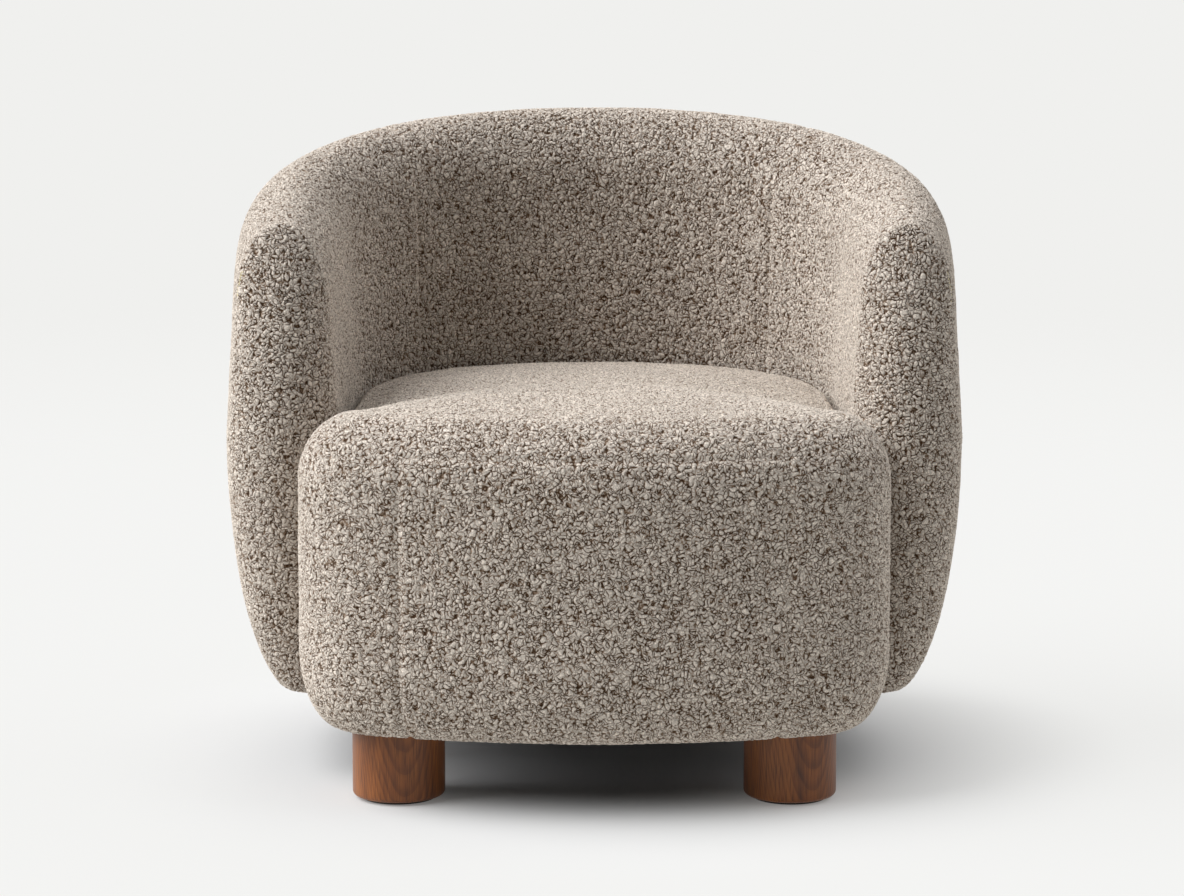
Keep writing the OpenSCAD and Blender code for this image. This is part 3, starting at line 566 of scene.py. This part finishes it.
def shape_tree(name, values):
    """A bare tree that changes a shape, its add function and its inputs, which values names."""
    tree = bpy.data.node_groups.new(name, "GeometryNodeTree")
    for way in ("INPUT", "OUTPUT"):
        tree.interface.new_socket("Geometry", in_out=way, socket_type="NodeSocketGeometry")
    for name, value in values.items():
        kind = "NodeSocketInt" if isinstance(value, int) else "NodeSocketFloat"
        tree.interface.new_socket(name, in_out="INPUT", socket_type=kind).default_value = value
    add = adder(tree)
    return tree, add, add("NodeGroupInput").outputs


def pile_tree():
    """Raises the nubs from the ground along the skin's own normal, and lowers them along the seams."""
    tree, add, source = shape_tree("boucle pile", {
        "Nub length": NUB_MM * MM, "Pile height": PILE_MM * MM, "Seam half width": SEAM_HALF_MM * MM,
        "Seam depth": SEAM_DEPTH_MM * MM, "Seed": 4})
    place = add("GeometryNodeInputPosition")
    shift = add("CombineXYZ", [source["Seed"], source["Seed"]])
    unit = add("Math DIVIDE", [1.0, source["Nub length"]])
    scaled = add("VectorMath SCALE", {0: place, "Scale": unit})
    moved = add("VectorMath ADD", [scaled, shift])
    nub, dome, fleece = nub_pattern(add, moved)
    gap = add("GeometryNodeInputNamedAttribute", {"Name": "seam_gap"}, data_type="FLOAT")
    normal = add("GeometryNodeInputNamedAttribute", {"Name": "skin_normal"}, **VECTORS)
    free = add("MapRange", [gap, 0.0, source["Seam half width"], 0.2], **SMOOTH)
    dip = add("MapRange", [gap, 0.0, source["Seam half width"], 1.0, 0.0], **SMOOTH)
    broad = add("TexNoise", {0: place, "Scale": 28.0, "Detail": 2.0})
    wave = add("MapRange", [broad, 0.0, 1.0, -0.45, 0.45])
    rounded = add("Math MULTIPLY_ADD", [dome, 0.35, nub])
    curls = add("Math MULTIPLY_ADD", [fleece, 0.05, rounded])
    tall = add("Math MULTIPLY", [curls, free])
    all_tall = add("Math ADD", [tall, wave])
    raised = add("Math MULTIPLY", [all_tall, source["Pile height"]])
    sunk = add("Math MULTIPLY", [dip, source["Seam depth"]])
    lift = add("Math SUBTRACT", [raised, sunk])
    move = add("VectorMath SCALE", {0: normal, "Scale": lift})
    keep_place = add("GeometryNodeStoreNamedAttribute", {"Geometry": source["Geometry"],
                     "Name": "ground", "Value": place}, domain="POINT", **VECTORS)
    done = add("GeometryNodeSetPosition", {"Geometry": keep_place, "Offset": move})
    add("NodeGroupOutput", [done])
    return tree


def new_object(name, data):
    ob = bpy.data.objects.new(name, data)
    bpy.context.scene.collection.objects.link(ob)
    return ob


def forget(ob):
    mesh = ob.data
    bpy.data.objects.remove(ob)
    bpy.data.meshes.remove(mesh)


def set_attribute(me, name, values):
    """Stores a number or a vector for each point."""
    kind, key = (("FLOAT", "value"), ("FLOAT_VECTOR", "vector"))[np.ndim(values) - 1]
    me.attributes.new(name, kind, "POINT").data.foreach_set(key, np.asarray(values, np.float32).ravel())


def evaluated_points(ob):
    """The points of an object as its modifiers leave them, in metres."""
    done = bpy.data.meshes.new_from_object(ob.evaluated_get(bpy.context.evaluated_depsgraph_get()))
    out = np.empty(len(done.vertices) * 3, np.float32)
    done.vertices.foreach_get("co", out)
    bpy.data.meshes.remove(done)
    return out.reshape(-1, 3)


def piled(name, w):
    """Runs the pile's tree over a whole surface and returns the new points in metres."""
    me = make_mesh(name, w["points"], *face_list(w))
    set_attribute(me, "seam_gap", w["keep"] * MM)
    set_attribute(me, "skin_normal", w["normals"])
    ob = new_object(name, me)
    ob.modifiers.new("pile", "NODES").node_group = PILE
    out = evaluated_points(ob)
    forget(ob)
    return out


def panel_piece(name, w, panel, material):
    """One cover cut from a whole surface, with its own points, map and ground places."""
    q, t = w["quad_panel"] == panel, w["tri_panel"] == panel
    quads, tris = w["quads"][q], w["tris"][t]
    used, back = np.unique(np.concatenate([quads.reshape(-1), tris.reshape(-1)]), return_inverse=True)
    part = dict(quads=back[:quads.size].reshape(-1, 4), tris=back[quads.size:].reshape(-1, 3))
    me = make_mesh(name, w["raised"][used] / MM, *face_list(part))
    uv = np.concatenate([w["quad_uv"][q].reshape(-1, 2), w["tri_uv"][t].reshape(-1, 2)])
    low, high = uv.min(0), uv.max(0)
    uv = (uv - low) / (high - low).max() * 0.98 + 0.01
    me.uv_layers.new(name="panel").uv.foreach_set("vector", uv.astype(np.float32).ravel())
    set_attribute(me, "ground", w["points"][used] * MM)
    set_attribute(me, "seam_gap", w["keep"][used] * MM)
    me.materials.append(material)
    return new_object(name, me)


def new_material(name, attribute=None):
    """A bare material, its add function and each point's place: in the object's axes or an attribute."""
    mat = bpy.data.materials.new(name)
    mat.use_nodes = True
    mat.node_tree.nodes.clear()
    add = adder(mat.node_tree)
    if attribute:
        return mat, add, add("Attribute", attribute_name=attribute).outputs["Vector"]
    return mat, add, add("TexCoord").outputs["Object"]


def surfaced(mat, colour, rough, bump, **more):
    """Ends a material. colour is a node or a tone and the colours it stands for, and bump a relief's
    strength, its depth in metres and its height."""
    add = adder(mat.node_tree)
    if isinstance(colour, tuple):
        colour = add("ValToRGB", [colour[0]], colour[1:])
    normal = add("Bump", dict(zip(("Strength", "Distance", "Height"), bump)))
    skin = {"Base Color": colour, "Roughness": rough, "Normal": normal}
    skin.update((key.replace("_", " "), value) for key, value in more.items())
    add("OutputMaterial", [add("BsdfPrincipled", skin)])
    return mat


def teddy_boucle():
    """Teddy boucle: looped wool and polyester yarn on a woven ground. Its nubs are matt and pale; the
    cracks between them are painted dark as painted shade, each clump and each curl is painted lighter at
    its middle and darker at its rim as painted light and shade, and loose fibres catch light where the
    cloth turns away."""
    mat, add, ground = new_material("teddy boucle", "ground")
    unit = add("VectorMath SCALE", {0: ground, "Scale": 1 / (NUB_MM * MM)})
    place = add("VectorMath ADD", [unit, (4.0, 4.0, 0.0)])
    nub, dome, fleece = nub_pattern(add, place)
    fibre = add("TexNoise", {0: ground, "Scale": 900.0, "Detail": 3.0, "Roughness": 0.65})
    broad = add("TexNoise", {0: ground, "Scale": 11.0, "Detail": 2.0})
    # yarn colour from the cracks up to the nubs' tips; the dark brown of the cracks is painted shade
    ramp = add("ValToRGB", [nub], ((0.0, "#523924"), (0.5, "#a48b74"), (0.8, "#dcd1c4")))
    # painted light and shade: each curl is made lighter at its middle and darker at its rim; the fibre
    # noise below is the yarn's own tone
    curl = add("MapRange", [fleece, 0.0, 1.0, 0.7, 1.2])
    hair = add("MapRange", [fibre, 0.3, 0.7, 0.9, 1.1])
    dye = add("MapRange", [broad, 0.3, 0.7, 0.95, 1.05])
    # painted light and shade: each clump of curls is made lighter at its middle and darker at its rim
    painted_crest_shade = add("MapRange", [dome, 0.0, 1.0, 0.8, 1.16])
    painted_curl_shade_and_fibre = add("Math MULTIPLY", [curl, hair])
    painted_shade_and_fibre = add("Math MULTIPLY", [painted_curl_shade_and_fibre, painted_crest_shade])
    tone = add("Math MULTIPLY", [painted_shade_and_fibre, dye])
    colour = add("VectorMath SCALE", {0: ramp, "Scale": tone})
    high = add("Math MULTIPLY_ADD", [fleece, 0.3, nub])
    relief = add("Math MULTIPLY_ADD", [fibre, 0.22, high])
    return surfaced(mat, colour, 0.95, (0.55, 0.0014, relief), Specular_IOR_Level=0.15, Sheen_Weight=0.6,
                    Sheen_Roughness=0.45, Sheen_Tint=srgb("#eee0cf"))


# the padding under the covers
SWELL_START = 2.0      # the covers are cut this much smaller than the filled chair
SWELL_CAP = 1.5        # the furthest that the padding pushes a cover out
SETTLE_STEPS = 20
SETTLE_SPACING = 13.0
HELD_HEM, HELD_UNDER, HELD_SIDE, HELD_NOSE = 16, 20, 12, 30      # a cover is held this far from its edges


def swell_tree(padded):
    """Lays the simulated swelling of a coarse copy of a cover over the fine one."""
    tree, add, source = shape_tree("padding swell", {"Smoothing": 24})
    coarse = add("GeometryNodeObjectInfo", {"Object": padded})
    swell = add("GeometryNodeInputNamedAttribute", {"Name": "swell"}, **VECTORS)
    place = add("GeometryNodeInputPosition")
    near = add("GeometryNodeSampleNearestSurface", {"Mesh": coarse.outputs["Geometry"],
               "Value": swell, "Sample Position": place}, **VECTORS)
    soft = add("GeometryNodeBlurAttribute", {"Value": near.outputs["Value"],
               "Iterations": source["Smoothing"]}, **VECTORS)
    done = add("GeometryNodeSetPosition", {"Geometry": source["Geometry"], "Offset": soft})
    add("NodeGroupOutput", [done])
    return tree


def settle(name, whole, coarse, held):
    """Fills a cover: a coarse copy of it is held where it is tacked down and where its seams are drawn in,
    and pressure from inside swells the rest. held gives how fast each point of the copy is held."""
    me = make_mesh(name, coarse["points"], *face_list(coarse))
    ob = new_object(name, me)
    group = ob.vertex_groups.new(name="held")
    for level in np.unique(held):
        group.add(np.nonzero(held == level)[0].tolist(), float(level), "REPLACE")
    cloth = ob.modifiers.new("cloth", "CLOTH").settings
    cloth.quality = 6
    cloth.mass = 0.6
    cloth.tension_stiffness = cloth.compression_stiffness = 25
    cloth.shear_stiffness = 12
    cloth.bending_stiffness = 2.5
    cloth.air_damping = 3
    cloth.vertex_group_mass = "held"
    cloth.use_pressure = True
    cloth.uniform_pressure_force = 4
    cloth.effector_weights.gravity = 0
    scene = bpy.context.scene
    for step in range(1, SETTLE_STEPS + 1):
        scene.frame_set(step)
    move = evaluated_points(ob) / MM - coarse["points"]
    scene.frame_set(1)
    far = np.linalg.norm(move, axis=1)
    move *= (SWELL_CAP * np.tanh(far / SWELL_CAP) / np.maximum(far, 1e-6))[:, None]
    ob.modifiers.clear()
    set_attribute(me, "swell", move * MM)
    fine = make_mesh(name + "_fine", whole["points"], *face_list(whole))
    body = new_object(name + "_fine", fine)
    body.modifiers.new("swell", "NODES").node_group = swell_tree(ob)
    whole["points"] = evaluated_points(body) / MM
    whole["normals"] = vertex_normals(whole["points"], whole["quads"], whole["tris"])
    forget(ob)
    forget(body)


def holding(w, behind):
    """How fast each point is held: wholly at the hem and where behind says, and mostly at a seam."""
    low = w["points"][:, 2] < TUB_LOW_Z + HELD_HEM
    held = np.where(w["keep"] < 1.0, 0.85, 0.0)
    return np.where(low | behind, 1.0, held)


PILE = pile_tree()
boucle = teddy_boucle()
start = SKIN_IN + SWELL_START
tub = build(tub_sheet(start, SPACING), flip=True)
seat = build(seat_sheet(start, SPACING))
rough = build(tub_sheet(start, SETTLE_SPACING), flip=True)
x, y, z = rough["points"].T
inside = np.abs(x) < CHAIR_W / 2 - SEAT_SIDE_IN + HELD_SIDE
inside &= y > NOSE_BACK - CHAIR_D / 2 + HELD_NOSE
settle("tub", tub, rough, holding(rough, inside & (z < WALL_EDGE_Z - HELD_UNDER)))
rough = build(seat_sheet(start, SETTLE_SPACING))
x, y, z = rough["points"].T
behind = (y > NOSE_BACK - CHAIR_D / 2) & (z < WALL_EDGE_Z - HELD_UNDER)
settle("seat", seat, rough, holding(rough, behind))
tub["raised"], seat["raised"] = piled("tub", tub), piled("seat", seat)
for name, w, panel, nodes in (("arm_left", tub, ARM_LEFT, ["arm_cover_left"]),
                              ("arm_right", tub, ARM_RIGHT, ["arm_cover_right"]),
                              ("inside_back", tub, INSIDE_BACK, ["inside_back_cover"]),
                              ("outside_back", tub, OUTSIDE_BACK, ["outside_back_cover"]),
                              ("seat_top", seat, SEAT_TOP, ["seat_cover"]),
                              ("seat_front", seat, SEAT_FRONT, ["seat_front_panel"])):
    piece = panel_piece(name, w, panel, boucle)
    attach(piece, "root")
    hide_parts(*nodes)

# legs
LEG_R, LEG_ROUND, LEG_TOP, GLIDE_T, LEG_SIDES = 48.0, 5.0, 94.0, 3.0, 192


def stained_oak():
    """Oak turned to a round leg, stained brown and sealed with satin lacquer. Its rings show as upright
    bands that close to arches where the cut runs along them, and its pores are short dark strokes."""
    mat, add, place = new_material("stained oak", "timber")
    slow = add("VectorMath MULTIPLY", [place, (1.0, 1.0, 0.22)])
    sway = add("TexNoise", {0: slow, "Scale": 22.0, "Detail": 2.0})
    sways = add("VectorMath SUBTRACT", [sway.outputs["Color"], (0.5, 0.5, 0.5)])
    bent = add("VectorMath MULTIPLY_ADD", [sways, (0.007, 0.007, 0.0), place])
    parts = add("SeparateXYZ", [bent])
    flat = add("CombineXYZ", [parts, parts.outputs[1]])
    radius = add("VectorMath LENGTH", [flat])
    rise = add("Math MULTIPLY_ADD", [parts.outputs[2], 0.1, radius.outputs["Value"]])
    rings = add("Math MULTIPLY", [rise, 1 / 0.0024])
    turn = add("Math FRACT", [rings])
    late = add("ValToRGB", [turn], ((0.0, 0.25), (0.16, 0.15), (0.5, 0.8), (0.85, 1.0), (1.0, 0.75)))
    long_grain = add("VectorMath MULTIPLY", [place, (1.0, 1.0, 0.045)])
    pores = add("TexNoise", {0: long_grain, "Scale": 850.0, "Detail": 2.0})
    pore = add("MapRange", [pores, 0.36, 0.5], **SMOOTH)
    streaks = add("TexNoise", {0: long_grain, "Scale": 180.0, "Detail": 3.0})
    cloud = add("TexNoise", {0: slow, "Scale": 30.0, "Detail": 2.0})
    ring_mix = add("MapRange", [late, 0.0, 1.0, -0.1, 0.08])
    streak = add("Math MULTIPLY_ADD", [streaks, 0.55, ring_mix])
    tone = add("Math MULTIPLY_ADD", [cloud, 0.45, streak])
    colour = add("ValToRGB", [tone], ((0.12, "#351a0b"), (0.45, "#7a441c"), (0.85, "#a8672e")))
    dark = add("Mix", {0: pore, 6: srgb("#331b0e"), 7: colour}, data_type="RGBA")
    part_dark = add("Mix", {0: 0.45, 6: colour, 7: dark.outputs[2]}, data_type="RGBA")
    gloss = add("MapRange", [streaks, 0.0, 1.0, 0.36, 0.5])
    return surfaced(mat, part_dark.outputs[2], gloss, (0.25, 0.0003, pore), Specular_IOR_Level=0.4,
                    Coat_Weight=0.12, Coat_Roughness=0.35)


def turned_leg(name, centre, pith, material):
    """One leg, turned from a single block. pith is where the tree's middle stands from the leg's own."""
    rows = [(LEG_R - LEG_ROUND - 8, GLIDE_T)]
    rows += [(LEG_R - LEG_ROUND * (1 - math.sin(a)), GLIDE_T + LEG_ROUND * (1 - math.cos(a)))
             for a in np.radians(np.linspace(0, 90, 9))]
    rows += [(LEG_R, z) for z in np.linspace(GLIDE_T + LEG_ROUND, LEG_TOP - 1, 16)[1:]]
    rows.append((LEG_R - 1, LEG_TOP))
    turn = np.linspace(0, 2 * math.pi, LEG_SIDES, endpoint=False)
    points = [(centre[0] + r * math.cos(t), centre[1] + r * math.sin(t), z) for r, z in rows for t in turn]
    points = [(*centre, GLIDE_T), *points, (*centre, LEG_TOP)]
    top, last_ring = len(points) - 1, len(points) - 1 - LEG_SIDES
    sides = [(j, (j + 1) % LEG_SIDES) for j in range(LEG_SIDES)]
    faces = [(0, 1 + k, 1 + j) for j, k in sides]
    faces += [(lo + j, lo + k, lo + LEG_SIDES + k, lo + LEG_SIDES + j)
              for lo in range(1, last_ring, LEG_SIDES) for j, k in sides]
    faces += [(last_ring + j, last_ring + k, top) for j, k in sides]
    flat = np.array(points, float)
    me = bpy.data.meshes.new(name)
    me.from_pydata((flat * MM).tolist(), [], faces)
    for poly in me.polygons:
        poly.use_smooth = len(poly.vertices) == 4
    local = flat - np.array([centre[0] + pith[0], centre[1] + pith[1], pith[2]])
    set_attribute(me, "timber", local * MM)
    me.materials.append(material)
    return new_object(name, me)


oak = stained_oak()
for name, pith in (("leg_front_left", (-34, 170, 40)), ("leg_front_right", (-70, 150, -160)),
                   ("leg_rear_left", (-30, -75, 250)), ("leg_rear_right", (25, -64, 90))):
    low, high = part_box(name)
    mid = (low + high) / 2 / MM
    leg = turned_leg("turned_" + name, (mid.x, mid.y), pith, oak)
    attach(leg, "root")
    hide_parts(name)

# foam under the covers
FOAM_IN = 5.0      # the foam is squeezed this far in under its cover


def open_cell_foam():
    """Polyurethane foam cut from a block: cream, matt, with open pores and fine ridges from the knife."""
    mat, add, place = new_material("open cell foam")
    pores = add("TexVoronoi", {0: place, "Scale": 1 / 0.0018})
    pore = add("MapRange", [pores, 0.1, 0.7])
    cut = add("TexWave", {0: place, "Scale": 60.0, "Distortion": 3.0}, bands_direction="Z")
    stain = add("TexNoise", {0: place, "Scale": 9.0, "Detail": 3.0})
    tone = add("Math MULTIPLY_ADD", [pore, 0.6, stain])
    relief = add("Math MULTIPLY_ADD", [cut.outputs["Fac"], 0.3, pore])
    return surfaced(mat, (tone, (0.3, "#cdbd8e"), (1.0, "#efe4c0")), 0.95, (0.5, 0.0008, relief),
                    Specular_IOR_Level=0.1)


def foam_block(name, node, material):
    """The foam that fills a cover, squeezed in by it and rounded at its cut edges."""
    me = frame["nodes"][node].data.copy()
    me.name = name
    shape = bmesh.new()
    shape.from_mesh(me)
    bmesh.ops.remove_doubles(shape, verts=shape.verts, dist=1e-5)
    bmesh.ops.recalc_face_normals(shape, faces=shape.faces)
    shape.normal_update()
    for v in shape.verts:
        v.co -= v.normal * FOAM_IN * MM
    shape.to_mesh(me)
    shape.free()
    me.materials.clear()
    me.materials.append(material)
    ob = new_object(name, me)
    soft = ob.modifiers.new("soft edges", "SUBSURF")
    soft.levels = soft.render_levels = 1
    return ob


foam = open_cell_foam()
for node in ("seat_foam", "seat_border_foam", "back_foam", "arm_foam_left", "arm_foam_right"):
    piece = foam_block("soft_" + node, node, foam)
    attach(piece, "root")
    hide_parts(node)


# finishes of the frame inside
def birch_plywood():
    """Birch plywood, sanded: pale face veneer with long soft figure, and dark glue lines at its edges."""
    mat, add, place = new_material("birch plywood")
    long = add("VectorMath MULTIPLY", [place, (0.08, 1.0, 1.0)])
    figure = add("TexNoise", {0: long, "Scale": 95.0, "Detail": 4.0})
    plies = add("TexWave", {0: place, "Scale": 1 / 0.0028 / 6.28, "Distortion": 0.4},
                bands_direction="Z")
    ply = add("MapRange", [plies.outputs["Fac"], 0.0, 0.25, -0.22, 0.0])
    tone = add("Math ADD", [figure, ply])
    return surfaced(mat, (tone, (0.2, "#a98758"), (0.75, "#dcc090")), 0.62, (0.2, 0.0003, figure))


def planed_pine():
    """Pine, planed and left bare: warm growth rings every 3 mm and a fine straight fibre."""
    mat, add, place = new_material("planed pine")
    rings = add("TexWave", {0: place, "Scale": 1 / 0.003 / 6.28, "Distortion": 5.0,
                "Detail": 2.0, "Detail Scale": 0.4}, wave_type="RINGS", rings_direction="Z")
    fibre = add("VectorMath MULTIPLY", [place, (1.0, 1.0, 0.06)])
    fine = add("TexNoise", {0: fibre, "Scale": 420.0, "Detail": 3.0})
    tone = add("Math MULTIPLY_ADD", [fine, 0.6, rings.outputs["Fac"]])
    return surfaced(mat, (tone, (0.2, "#e2c593"), (1.0, "#b98a52")), 0.66, (0.25, 0.0003, fine))


def fibreboard():
    """Thin hardboard bent round the frame: brown pressed fibres, smooth on its face."""
    mat, add, place = new_material("hardboard")
    fibres = add("TexNoise", {0: place, "Scale": 700.0, "Detail": 4.0, "Roughness": 0.7})
    cloud = add("TexNoise", {0: place, "Scale": 25.0, "Detail": 2.0})
    tone = add("Math MULTIPLY_ADD", [cloud, 0.4, fibres])
    return surfaced(mat, (tone, (0.45, "#4f3a28"), (0.95, "#8d6c4c")), 0.55, (0.2, 0.0002, fibres))


def elastic_webbing():
    """Elastic webbing: charcoal polyester woven over rubber threads, which show as ribs every 2.5 mm."""
    mat, add, place = new_material("elastic webbing")
    ribs = add("TexWave", {0: place, "Scale": 1 / 0.0025 / 6.28}, bands_direction="X")
    cross = add("TexWave", {0: place, "Scale": 1 / 0.0016 / 6.28}, bands_direction="Y")
    weave = add("Math MULTIPLY", [ribs.outputs["Fac"], cross.outputs["Fac"]])
    fluff = add("TexNoise", {0: place, "Scale": 500.0, "Detail": 2.0})
    tone = add("Math MULTIPLY_ADD", [fluff, 0.5, weave])
    return surfaced(mat, (tone, (0.1, "#1d1d1f"), (1.0, "#4b4b4f")), 0.85, (0.6, 0.0005, weave),
                    Sheen_Weight=0.2)


def zinc_plated_steel():
    """Steel with bright zinc plating: a fine mottle of dull and shiny crystals, and turning marks."""
    mat, add, place = new_material("zinc plated steel")
    spangle = add("TexVoronoi", {0: place, "Scale": 1 / 0.0012})
    haze = add("TexNoise", {0: place, "Scale": 260.0, "Detail": 3.0})
    marks = add("TexWave", {0: place, "Scale": 1 / 0.0007 / 6.28}, bands_direction="Z")
    rough = add("MapRange", [spangle, 0.0, 1.0, 0.3, 0.5])
    return surfaced(mat, (haze, (0.3, "#a3a6aa"), (0.7, "#c9ccd0")), rough,
                    (0.1, 0.0001, marks.outputs["Fac"]), Metallic=1.0)


def spunbond():
    """Spunbond polypropylene under the seat: black, with a bonded dimple every 2 mm and stray filaments."""
    mat, add, place = new_material("spunbond polypropylene")
    dots = add("TexVoronoi", {0: place, "Scale": 1 / 0.002, "Randomness": 0.1})
    dimple = add("MapRange", [dots, 0.2, 0.4])
    stray = add("TexNoise", {0: place, "Scale": 320.0, "Detail": 4.0})
    tone = add("Math MULTIPLY_ADD", [dimple, 0.4, stray])
    return surfaced(mat, (tone, (0.3, "#121213"), (1.0, "#2b2b2d")), 0.8, (0.5, 0.0003, dimple))


def moulded_nylon():
    """Nylon glide, moulded: near black, with a spark-eroded grain of 0.4 mm and rubbed on its sole."""
    mat, add, place = new_material("moulded nylon")
    grain = add("TexNoise", {0: place, "Scale": 1 / 0.0004, "Detail": 2.0})
    rub = add("TexNoise", {0: place, "Scale": 90.0, "Detail": 4.0})
    rough = add("MapRange", [rub, 0.0, 1.0, 0.42, 0.65])
    return surfaced(mat, (rub, (0.35, "#181615"), (0.75, "#2e2b29")), rough, (0.3, 0.0001, grain))


finishes = {"plywood": birch_plywood(), "timber": planed_pine(), "skin_board": fibreboard(),
            "webbing": elastic_webbing(), "steel": zinc_plated_steel(), "dust_cloth": spunbond(),
            "glide_plastic": moulded_nylon(), "boucle": boucle, "foam": foam, "leg_wood": oak}
for piece in frame["record"]["subparts"]:
    ob = frame["nodes"][piece["node"]]
    ob.data.materials.clear()
    ob.data.materials.append(finishes[piece["material_slot"]])


# floor, light and camera
def studio_floor():
    """A pale sheet that glows more and more from 0.22 m out from its middle: painted light, which thins the
    shadow beside the chair. Far off it fades into the studio's light, so that no horizon shows."""
    mat, add, place = new_material("studio floor")
    far = add("VectorMath LENGTH", [place])
    fade = add("MapRange", [far.outputs["Value"], 1.6, 5.5], **SMOOTH)
    paint = add("BsdfPrincipled", {"Base Color": srgb("#d6d6d5"), "Roughness": 0.75,
                "Specular IOR Level": 0.2})
    # painted light: the floor's glow grows from 0.22 m to 0.62 m out, which lightens the chair's shadow on
    # it
    painted_glow_share = add("MapRange", [far.outputs["Value"], 0.22, 0.62, 0.0, 0.88], **SMOOTH)
    glow = add("Emission", {"Color": srgb("#f3f3f1"), "Strength": 1.0})
    lit = add("MixShader", [painted_glow_share, paint, glow])
    clear = add("BsdfTransparent")
    mix = add("MixShader", [fade, lit, clear])
    add("OutputMaterial", [mix])
    return mat


FLOOR_R, FLOOR_SIDES = 7, 96      # metres
floor_mesh = bpy.data.meshes.new("floor")
turn = np.linspace(0, 2 * math.pi, FLOOR_SIDES, endpoint=False)
floor_mesh.from_pydata([(FLOOR_R * math.cos(t), FLOOR_R * math.sin(t), 0) for t in turn], [],
                       [tuple(range(FLOOR_SIDES))])
floor = new_object("floor", floor_mesh)
floor.data.materials.append(studio_floor())

world = bpy.data.worlds.new("studio")
bpy.context.scene.world = world
world.use_nodes = True
world.node_tree.nodes.clear()
add = adder(world.node_tree)
seen = add("Background", {"Color": srgb("#f0f0ee"), "Strength": 1.0})
lit = add("Background", {"Color": srgb("#f4f3f1"), "Strength": 0.05})
add("OutputWorld", [add("MixShader", [add("LightPath").outputs["Is Camera Ray"], lit, seen])])

# large even lights far off: degrees round from the camera to the right, degrees above the floor, strength,
# and degrees across as seen from the chair
for name, bearing, height, strength, width in (
        ("key", -82, 44, 4.3, 56), ("low_left", -105, 20, 0.7, 45), ("right", 99, 45, 1.0, 60),
        ("right_behind", 150, 45, 0.85, 60), ("overhead", 0, 80, 0.2, 60)):
    data = bpy.data.lights.new(name, "SUN")
    data.energy, data.angle, data.color = strength, math.radians(width), srgb("#fbfcff")[:3]
    new_object(name, data).rotation_euler = (math.radians(90 - height), 0, math.radians(bearing))

CAMERA_BACK, CAMERA_UP, CAMERA_TILT = 3.6, 0.825, 7.8      # metres, metres and degrees down
camera = new_object("camera", bpy.data.cameras.new("camera"))
camera.location = (0.0, -CAMERA_BACK, CAMERA_UP)
camera.rotation_euler = (math.radians(90 - CAMERA_TILT), 0, 0)
camera.data.lens = 100.5
camera.data.sensor_width = 36.0
camera.data.shift_x = -0.002
bpy.context.scene.camera = camera
bpy.context.scene.view_settings.view_transform = "Standard"
